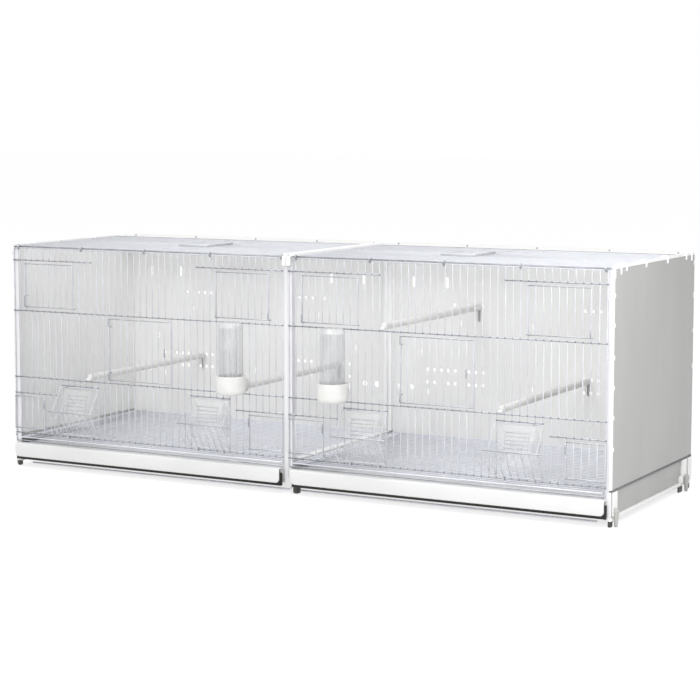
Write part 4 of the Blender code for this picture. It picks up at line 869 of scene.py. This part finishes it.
def punchedBoxes(node):
    # The walls of each hole, found as joined faces that stand across the sheet away from its edges
    shape = cadShape(node)
    shape.normal_update()
    low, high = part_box(node)
    near = backLook["near"]
    walls = {face for face in shape.faces if abs(face.normal.y) < 0.5 and all(
        low.x + near < vert.co.x < high.x - near and low.z + near < vert.co.z < backLook["foldLow"] - near
        for vert in face.verts)}
    boxes = []
    while walls:
        waiting = [walls.pop()]
        places, ways = [], set()
        while waiting:
            face = waiting.pop()
            places += [vert.co.copy() for vert in face.verts]
            ways.add((round(face.normal.x, 2), round(face.normal.z, 2)))
            for edge in face.edges:
                for other in walls.intersection(edge.link_faces):
                    walls.remove(other)
                    waiting.append(other)
        xs, zs = [place.x for place in places], [place.z for place in places]
        boxes.append((min(xs), max(xs), min(zs), max(zs), len(ways)))
    shape.free()
    return sorted(boxes)


def cutMesh(shape, cutters):
    # The shape less the cutters, as a new mesh
    things = []
    for name, part in (("slab", shape), ("cutters", cutters)):
        bmesh.ops.recalc_face_normals(part, faces=part.faces)
        things.append(addObject(name, meshFrom(name, part)))
    cut = things[0].modifiers.new("cut", "BOOLEAN")
    cut.operation = "DIFFERENCE"
    cut.object = things[1]
    bpy.context.view_layer.update()
    result = bpy.data.meshes.new_from_object(things[0].evaluated_get(bpy.context.evaluated_depsgraph_get()))
    for thing in things:
        bpy.data.objects.remove(thing)
    cutShape = bmesh.new()
    cutShape.from_mesh(result)
    bpy.data.meshes.remove(result)
    return cutShape


for side in sides:
    look = backLook
    node = "back_panel_" + side
    low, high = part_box(node)
    # The sheet is folded forward over the roof as a flap that runs down to the wires
    face, rear, ridge, foldLow = (look[name] for name in ("front", "rear", "ridge", "foldLow"))
    profile = [(face, look["low"]), (rear, look["low"]), (rear, ridge - look["bevel"][1]),
               (rear - look["bevel"][0], ridge), (look["ridgeFront"], ridge),
               (look["foldFront"], foldLow + look["foldEdge"]), (look["foldFront"], foldLow), (face, foldLow)]
    slab = bmesh.new()
    addLoft(slab, swept(profile, (low.x, high.x), "X"))
    cutters = bmesh.new()
    for left, right, bottom, top, walls in punchedBoxes(node):
        small, large = sorted((right - left, top - bottom))
        squarish = large < look["squarish"] * small
        spans = [(left, right), (bottom, top)]
        radius = look["cornerRadius"] if squarish else small / 2 - look["shy"]
        if squarish and walls > 4:
            spans = [(sum(span) / 2 - large / 2, sum(span) / 2 + large / 2) for span in spans]
            radius = large / 2 - look["shy"]
        hole = roundedOutline(*spans, radius)
        addLoft(cutters, swept(hole, (face - look["over"], rear + look["over"]), "Y"))
    sheet = cutMesh(slab, cutters)
    sheet.normal_update()
    # The faces that look to the rear, up to the fold, take the grey painted shade
    for facet in sheet.faces:
        facet.material_index = int(facet.normal.y > 0.5 and facet.calc_center_median().z < foldLow)
    piece = makePiece("backSheet_" + side, sheet, backSheet, (node,), slotName="sheet_grey", second=sheetPaintedShade)
    rounded(piece, look["edge"])
print("back sheets made")


# Trays: a formed pan with round corners, and a hollow lip in front over a black strip of painted shade

trayLook = dict(
    inner=0.0112, outer=0.5854, depth=(-0.1716, 0.2202), lipFace=-0.182, lipBack=-0.1698, lipLow=0.0197,
    lipHigh=0.0462, wall=0.0022, legEnd=0.0249, roundEdge=0.0035, lowerShare=0.6, lipWider=0.0075,
    lipShort=0.001, cornerRadius=0.008, cornerSteps=7, lipEdge=0.0004, shadeTop=0.0375, shadeLonger=0.003,
    shadeRadius=0.0016)
# The pan from its underside over the rim to its floor: inset, height and corner radius
panRings = ((0.0050, 0.0189, 0.006), (0.0018, 0.0193, 0.008), (0.0, 0.0220, 0.009), (0.0, 0.0424, 0.009),
            (0.0005, 0.0429, 0.009), (0.0017, 0.0429, 0.008), (0.0022, 0.0424, 0.008), (0.0022, 0.0245, 0.008),
            (0.0034, 0.0220, 0.007), (0.0070, 0.0211, 0.005))


def lipProfile(lift):
    # The lip seen from its end, its lower corner lifted towards the end
    look = trayLook
    face, high, back, wall, leg = (look[name] for name in ("lipFace", "lipHigh", "lipBack", "wall", "legEnd"))
    edge, low = look["roundEdge"], look["lipLow"] + lift
    small = edge * look["lowerShare"]
    return ([(face + wall, low), (face + wall, high - wall), (front, high - wall), (front, leg), (back, leg),
             (back, high)] + arc((face + edge, high - edge), edge, 90, 180, 5)
            + arc((face + small, low + small), small, 180, 270, 4))


for side in sides:
    look = trayLook
    low, high = bayEnds(side, look["inner"], look["outer"])
    nose, tail = look["depth"]
    pan = []
    for inset, z, radius in panRings:
        outline = roundedOutline((low + inset, high - inset), (nose + inset, tail - inset), radius, 6)
        pan.append([(a, b, z) for a, b in outline])
    makeSolid("trayPan_" + side, [pan], traySheet, nodes=("tray_" + side,))
    start = low - (look["lipWider"] if side == "left" else 0.0)
    end = high + (look["lipWider"] if side == "right" else 0.0) - look["lipShort"]
    radius = look["cornerRadius"]
    angles = [math.radians(90 * step / look["cornerSteps"]) for step in range(look["cornerSteps"] + 1)]
    ends = [(radius * (1 - math.sin(t)), radius * (1 - math.cos(t))) for t in angles]
    stations = [(start + inset, lift) for inset, lift in reversed(ends)]
    stations += [(end - inset, lift) for inset, lift in ends]
    lip = [[(x, y, z) for y, z in lipProfile(lift)] for x, lift in stations]
    makeSolid("trayLip_" + side, [lip], traySheet, look["lipEdge"], body="tray_" + side)
    low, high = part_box("tray_seal_" + side)
    strip = roundedOutline((low.y, high.y), (low.z, look["shadeTop"]), look["shadeRadius"], 3)
    makeSolid("trayLipShade_" + side, [swept(strip, (low.x, high.x + look["shadeLonger"]), "X")], blackStripPaintedShade,
              nodes=("tray_seal_" + side,), slotName="seal")
print("trays made")


# Side sheets, base and profiles: pale inside, with grey painted shade on the faces outside

profileLook = dict(
    sheetEdge=0.0004, postEdge=0.0006, centreEdge=0.0005, sheetOut=0.5968, legIn=0.598, postOut=0.6,
    plateLow=0.02)
railLift = 0.0118  # the outer rail's lower edge, rolled up a little above the CAD rail's


def facesOut(centre, normal):
    return normal.x * math.copysign(1.0, centre.x) > 0.5


def isPlate(centre, normal):
    # The base's inner plate, but not its rails: its faces take the grey painted shade
    return (abs(normal.x) > 0.5 and abs(centre.x) < profileLook["sheetOut"]
            and centre.z > profileLook["plateLow"])


def isShadedLeg(centre, normal):
    # The leg along the side takes the side sheet's grey painted shade as well
    return abs(centre.x) > profileLook["legIn"] and abs(normal.z) < 0.5


for side in sides:
    moulded("side_panel_" + side, backSheet, profileLook["sheetEdge"], "sheet_grey", sheetPaintedShade, facesOut)
    moulded("base_side_" + side, whiteMoulding, profileLook["sheetEdge"], second=sheetPaintedShade, isSecond=isPlate,
            lift=railLift)
    for end, material in (("front", frontProfile), ("rear", profilePaintedLight)):
        moulded(f"corner_post_{end}_{side}", material, profileLook["postEdge"], second=sheetPaintedShade,
                isSecond=isShadedLeg)
for node in ("centre_post_front", "centre_post_rear", "roof_centre_rail", "floor_centre_rail"):
    moulded(node, frontProfile if node == "centre_post_front" else profilePaintedLight, profileLook["centreEdge"])

# Feet: short pegs with a rounded tread, under a flange that is pushed up into the profile
footLook = dict(
    centre=dict(half=(0.0052, 0.006), tread=(0.0034, 0.0042), flange=0.0022, out=0.0),
    end=dict(half=(0.003, 0.005), tread=(0.0022, 0.004), flange=0.0, out=0.01), inward=0.6, corner=0.002,
    treadHeight=0.0016, flangeHeight=0.0034, flangeStep=0.0006, edge=0.0005,
    shoe=((-0.009, 0.0035), (-0.006, 0.006), (0.01, 0.0168)), shoeCorner=0.0015)

for end, inward in (("front", -1), ("rear", 1)):
    for place, way in (("left", -1), ("centre", 0), ("right", 1)):
        node = f"foot_{end}_{place}"
        low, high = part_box(node)
        look = footLook["end" if way else "centre"]
        x = (low.x + high.x) / 2 + look["out"] * way
        y = (low.y + high.y) / 2 + look["out"] * footLook["inward"] * inward
        rings = []
        neck = high.z - footLook["flangeHeight"]
        for z, (halfX, halfY), flange in (
                (low.z, look["tread"], 0.0), (low.z + footLook["treadHeight"], look["half"], 0.0),
                (neck, look["half"], 0.0), (neck + footLook["flangeStep"], look["half"], look["flange"]),
                (high.z, look["half"], look["flange"])):
            spans = [(middle - half - flange, middle + half + flange)
                     for middle, half in ((x, halfX), (y, halfY))]
            rings.append([(a, b, z) for a, b in roundedOutline(*spans, footLook["corner"])])
        makeSolid(node + "_moulding", [rings], feetPaintedShade, footLook["edge"], nodes=(node,), slotName="foot")
        if way:
            # The peg stands in a shoe that closes the profile's end
            xSpan, ySpan, heights = footLook["shoe"]
            shoe = roundedOutline([x + a for a in xSpan], [y + b for b in ySpan], footLook["shoeCorner"], 3)
            if way < 0:
                shoe = [(2 * x - a, b) for a, b in reversed(shoe)]
            makeSolid(f"profileShoe_{end}_{place}", [swept(shoe, heights, "Z")], whiteMoulding,
                      footLook["edge"])


def block(xs, ys, zs):
    # A box, given its span each way
    return swept([(xs[0], ys[0]), (xs[1], ys[0]), (xs[1], ys[1]), (xs[0], ys[1])], zs, "Z")


# A fine grey strip down the middle of the front and roof profiles is painted shade for the slot where a divider
# sheet would slide in
# For each kind of strip: half its width, how far it stands out, and how far above the profile's end it starts
slotLook = dict(fine=(0.0004, 0.00015, 0.012), broad=(0.0016, -0.00015, 0.0005), depth=0.0004, clear=0.004)
for node, axis, way, material, kind in (
        ("centre_post_front", 1, -1, slotPaintedShade, "fine"), ("roof_centre_rail", 2, 1, slotPaintedShade, "fine"),
        ("centre_post_rear", 1, -1, whiteMoulding, "broad")):
    low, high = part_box(node)
    half, proud, foot = slotLook[kind]
    middle, clear = (low.x + high.x) / 2, slotLook["clear"]
    spans = [(middle - half, middle + half), (low.y + clear, high.y - clear), (low.z + foot, high.z - clear)]
    face = (high if way > 0 else low)[axis]
    spans[axis] = sorted((face + way * proud, face - way * (proud + slotLook["depth"])))
    makeSolid("profileSlot_" + node, [block(*spans)], material)

# Two flanges stand on the roof's centre rail, over the ends of both roofs, with the divider's slot between them
flangeLook = dict(
    left=(-0.0105, -0.0014), right=(0.0014, 0.0105), depth=(-0.168, 0.214), height=(0.4172, 0.4236),
    edge=0.0006)
flanges = [block(flangeLook[side], flangeLook["depth"], flangeLook["height"]) for side in sides]
makeSolid("roofRailFlanges", flanges, profilePaintedLight, flangeLook["edge"])

# What holds the corners, as plates on each end: span in Y, span in Z, corner radius, and how far their two
# faces stand out of the posts and lie below the sheet's face
lugs = [((-0.17, -0.1626), (z - 0.0042, z + 0.0042), 0.0036, 0.0012, 0.0)
        for z in (0.3755, 0.3275, 0.2757, 0.2273, 0.1786, 0.1270)]
lugs += [((0.2225, 0.2278), (z - 0.0045, z + 0.0045), 0.0022, 0.0006, 0.0)
         for z in (0.403, 0.346, 0.283, 0.220)]
cornerParts = (
    ("postLugs", whiteMoulding, "profile_white", 0.0005, lugs),
    ("baseStrips", whiteMoulding, "profile_white", 0.0004, [
        ((-0.1650, -0.1450), (0.0180, 0.0575), 0.0015, 0.0018, 0.0),
        ((0.1800, 0.1995), (0.0270, 0.0575), 0.0015, 0.0018, 0.0),
        ((0.2090, 0.2262), (0.0190, 0.0575), 0.0015, 0.0018, 0.0),
        ((0.1690, 0.1815), (0.0165, 0.0300), 0.0050, 0.0024, 0.0)]),
    ("postEdges", whiteMoulding, "profile_white", 0.0004, [
        ((-0.1716, -0.1664), (0.0612, 0.4060), 0.0006, 0.0008, 0.0)]),
    ("postCaps", whiteMoulding, "profile_white", 0.0004, [
        ((-0.1716, -0.1635), (0.4030, 0.4172), 0.0014, 0.0012, 0.0)]),
    ("cornerPegs", pegMoulding, "profile_white", None, None),  # round pegs instead of plates
    # A pad of the feet's polymer under the base, in front of the rear peg, near black as painted shade
    ("footPad", feetPaintedShade, "foot", 0.0008, [((0.1670, 0.1850), (0.0004, 0.0125), 0.0030, -0.0006, 0.0008)]),
    # An edge channel is pressed over the ends of the roof's wires
    ("roofChannel", whiteMoulding, "profile_white", 0.0006, [
        ((-0.1690, 0.2262), (0.4174, 0.4224), 0.0012, 0.0002, 0.0016)]),
    # One outer skin in the grey painted shade lies over the sheet and both posts' legs, down to the dark strip of
    # painted shade in the joint above the base
    ("sideSkin", sheetPaintedShade, "sheet_grey", 0.0003, [
        ((-0.1698, 0.2264), (0.0612, 0.4172), 0.0008, 0.0002, 0.0002)]),
    ("jointGrooveShade", jointGrooveShade, "seal", None, [((-0.1700, 0.2265), (0.0580, 0.0612), 0.0006, 0.0007, 0.0004)]))
# Pegs reach down to the floor beside the base: rings of height and radius
pegLook = dict(x=0.6042, ys=(-0.1575, 0.1905), corners=20, rings=(
    (0.0002, 0.0022), (0.0010, 0.0028), (0.0120, 0.0036), (0.0240, 0.0050), (0.0285, 0.0050), (0.0300, 0.0042)))


def plateLofts(plates, way):
    lofts = []
    for ySpan, zSpan, radius, proud, sunk in plates:
        faces = (way * (profileLook["sheetOut"] - sunk), way * (profileLook["postOut"] + proud))
        lofts.append(swept(roundedOutline(ySpan, zSpan, radius), faces, "X"))
    return lofts


def pegLofts(way):
    look = pegLook
    return [[[(way * (look["x"] + radius * math.cos(t)), y + way * radius * math.sin(t), z)
              for t in turns(look["corners"])] for z, radius in look["rings"]] for y in look["ys"]]


for side, way in (("left", -1), ("right", 1)):
    for name, material, slotName, edge, plates in cornerParts:
        lofts = plateLofts(plates, way) if plates else pegLofts(way)
        makeSolid(f"{name}_{side}", lofts, material, edge, slotName=slotName)
print("sheets and profiles made")


# Tie wires between the front feet; the left one turns up into the centre post's foot

tieLook = dict(
    radius=0.0015, height=0.006, place=-0.1563, left=(-0.5717, -0.0020), right=(0.0175, 0.5717),
    turnUp=(0.0035, 0.011), turnBend=0.006)
y, z = tieLook["place"], tieLook["height"]
(start, end), (along, rise) = tieLook["left"], tieLook["turnUp"]
leftTie = bent([(start, y, z), (end, y, z), (end + along, y, z + rise)], tieLook["turnBend"])
wirework("tieWire_left", [(leftTie, tieLook["radius"])], zincWire, ("tie_wire_left",))
wirework("tieWire_right", [straight(tieLook["right"], y, z, tieLook["radius"])], zincWire, ("tie_wire_right",))
print("tie wires made")


# Studio: pale floor, white surround, soft light

studio = dict(floor="#E9E9E9", floorSize=60.0, floorGlow=0.72, floorLit=0.40, ambient=0.68, surround=1.0)


def seenDirectly(tree):
    # 1 for the camera's own rays and those by way of gloss or glass, else 0
    path = addNode(tree, "ShaderNodeLightPath")
    seen = path.outputs["Is Camera Ray"]
    for kind in ("Is Glossy Ray", "Is Transmission Ray"):
        links = {0: seen, 1: path.outputs[kind]}
        seen = addNode(tree, "ShaderNodeMath", links=links, operation="MAXIMUM").outputs[0]
    return seen


def buildFloor():
    shape = bmesh.new()
    bmesh.ops.create_grid(shape, x_segments=8, y_segments=8, size=studio["floorSize"] / 2)
    floor = addObject("studioFloor", meshFrom("studioFloor", shape))
    material = bpy.data.materials.new("paintedStudioFloor")
    material.use_nodes = True
    tree = material.node_tree
    shader = tree.nodes["Principled BSDF"]
    shader.inputs["Roughness"].default_value = 0.9
    shader.inputs["Specular IOR Level"].default_value = 0.1
    shader.inputs["Base Color"].default_value = linear(studio["floor"])
    # Seen directly or through gloss and glass, most of the floor's tone is its own, so that it reads white
    lit = addNode(tree, "ShaderNodeBsdfDiffuse", {"Color": (studio["floorLit"],) * 3 + (1.0,)})
    glow = addNode(tree, "ShaderNodeEmission", {"Strength": studio["floorGlow"]})
    both = addNode(tree, "ShaderNodeAddShader", links={0: lit.outputs[0], 1: glow.outputs[0]})
    mixed = addNode(tree, "ShaderNodeMixShader",
                    links={0: seenDirectly(tree), 1: shader.outputs[0], 2: both.outputs[0]})
    tree.links.new(mixed.outputs[0], tree.nodes["Material Output"].inputs["Surface"])
    floor.data.materials.append(material)


def buildSurround():
    world = bpy.data.worlds.new("studioSurround")
    bpy.context.scene.world = world
    world.use_nodes = True
    tree = world.node_tree
    background = tree.nodes["Background"]
    background.inputs["Color"].default_value = (1.0, 1.0, 1.0, 1.0)
    strength = addNode(tree, "ShaderNodeMapRange", {"To Min": studio["ambient"], "To Max": studio["surround"]},
                       {"Value": seenDirectly(tree)})
    tree.links.new(strength.outputs["Result"], background.inputs["Strength"])


# Each lamp's place, what it points at, its size and its power
lamps = dict(softboxAbove=((-0.2, -1.0, 3.0), (0.0, 0.0, 0.2), (2.4, 1.6), 30),
             softboxFront=((0.5, -2.6, 1.3), (0.1, 0.0, 0.2), (1.4, 1.0), 27),
             softboxSide=((1.12, -0.42, 0.62), (0.6, -0.05, 0.28), (0.2, 0.2), 2.6))

buildFloor()
buildSurround()
for name, (place, target, size, power) in lamps.items():
    lamp = bpy.data.lights.new(name, "AREA")
    lamp.shape = "RECTANGLE"
    lamp.size, lamp.size_y = size
    lamp.energy = power
    thing = addObject(name, lamp)
    thing.location = place
    thing.rotation_euler = (Vector(target) - Vector(place)).to_track_quat("-Z", "Y").to_euler()

camera = dict(
    place=(1.6922, -3.0762, 0.6523), yaw=29.3008, pitch=-5.9382, roll=-0.09, lens=99.741, sensor=36.0,
    shift=(0.0453, -0.0387), clipEnd=200.0)
data = bpy.data.cameras.new("camera")
data.lens = camera["lens"]
data.sensor_width = camera["sensor"]
data.shift_x, data.shift_y = camera["shift"]
data.clip_end = camera["clipEnd"]
viewer = addObject("camera", data)
viewer.location = camera["place"]
turn = Matrix.Rotation(math.radians(camera["yaw"]), 4, "Z")
turn = turn @ Matrix.Rotation(math.radians(90 + camera["pitch"]), 4, "X")
turn = turn @ Matrix.Rotation(math.radians(camera["roll"]), 4, "Z")
viewer.rotation_euler = turn.to_euler()
bpy.context.scene.camera = viewer
bpy.context.scene.view_settings.view_transform = "Standard"
print("studio made")
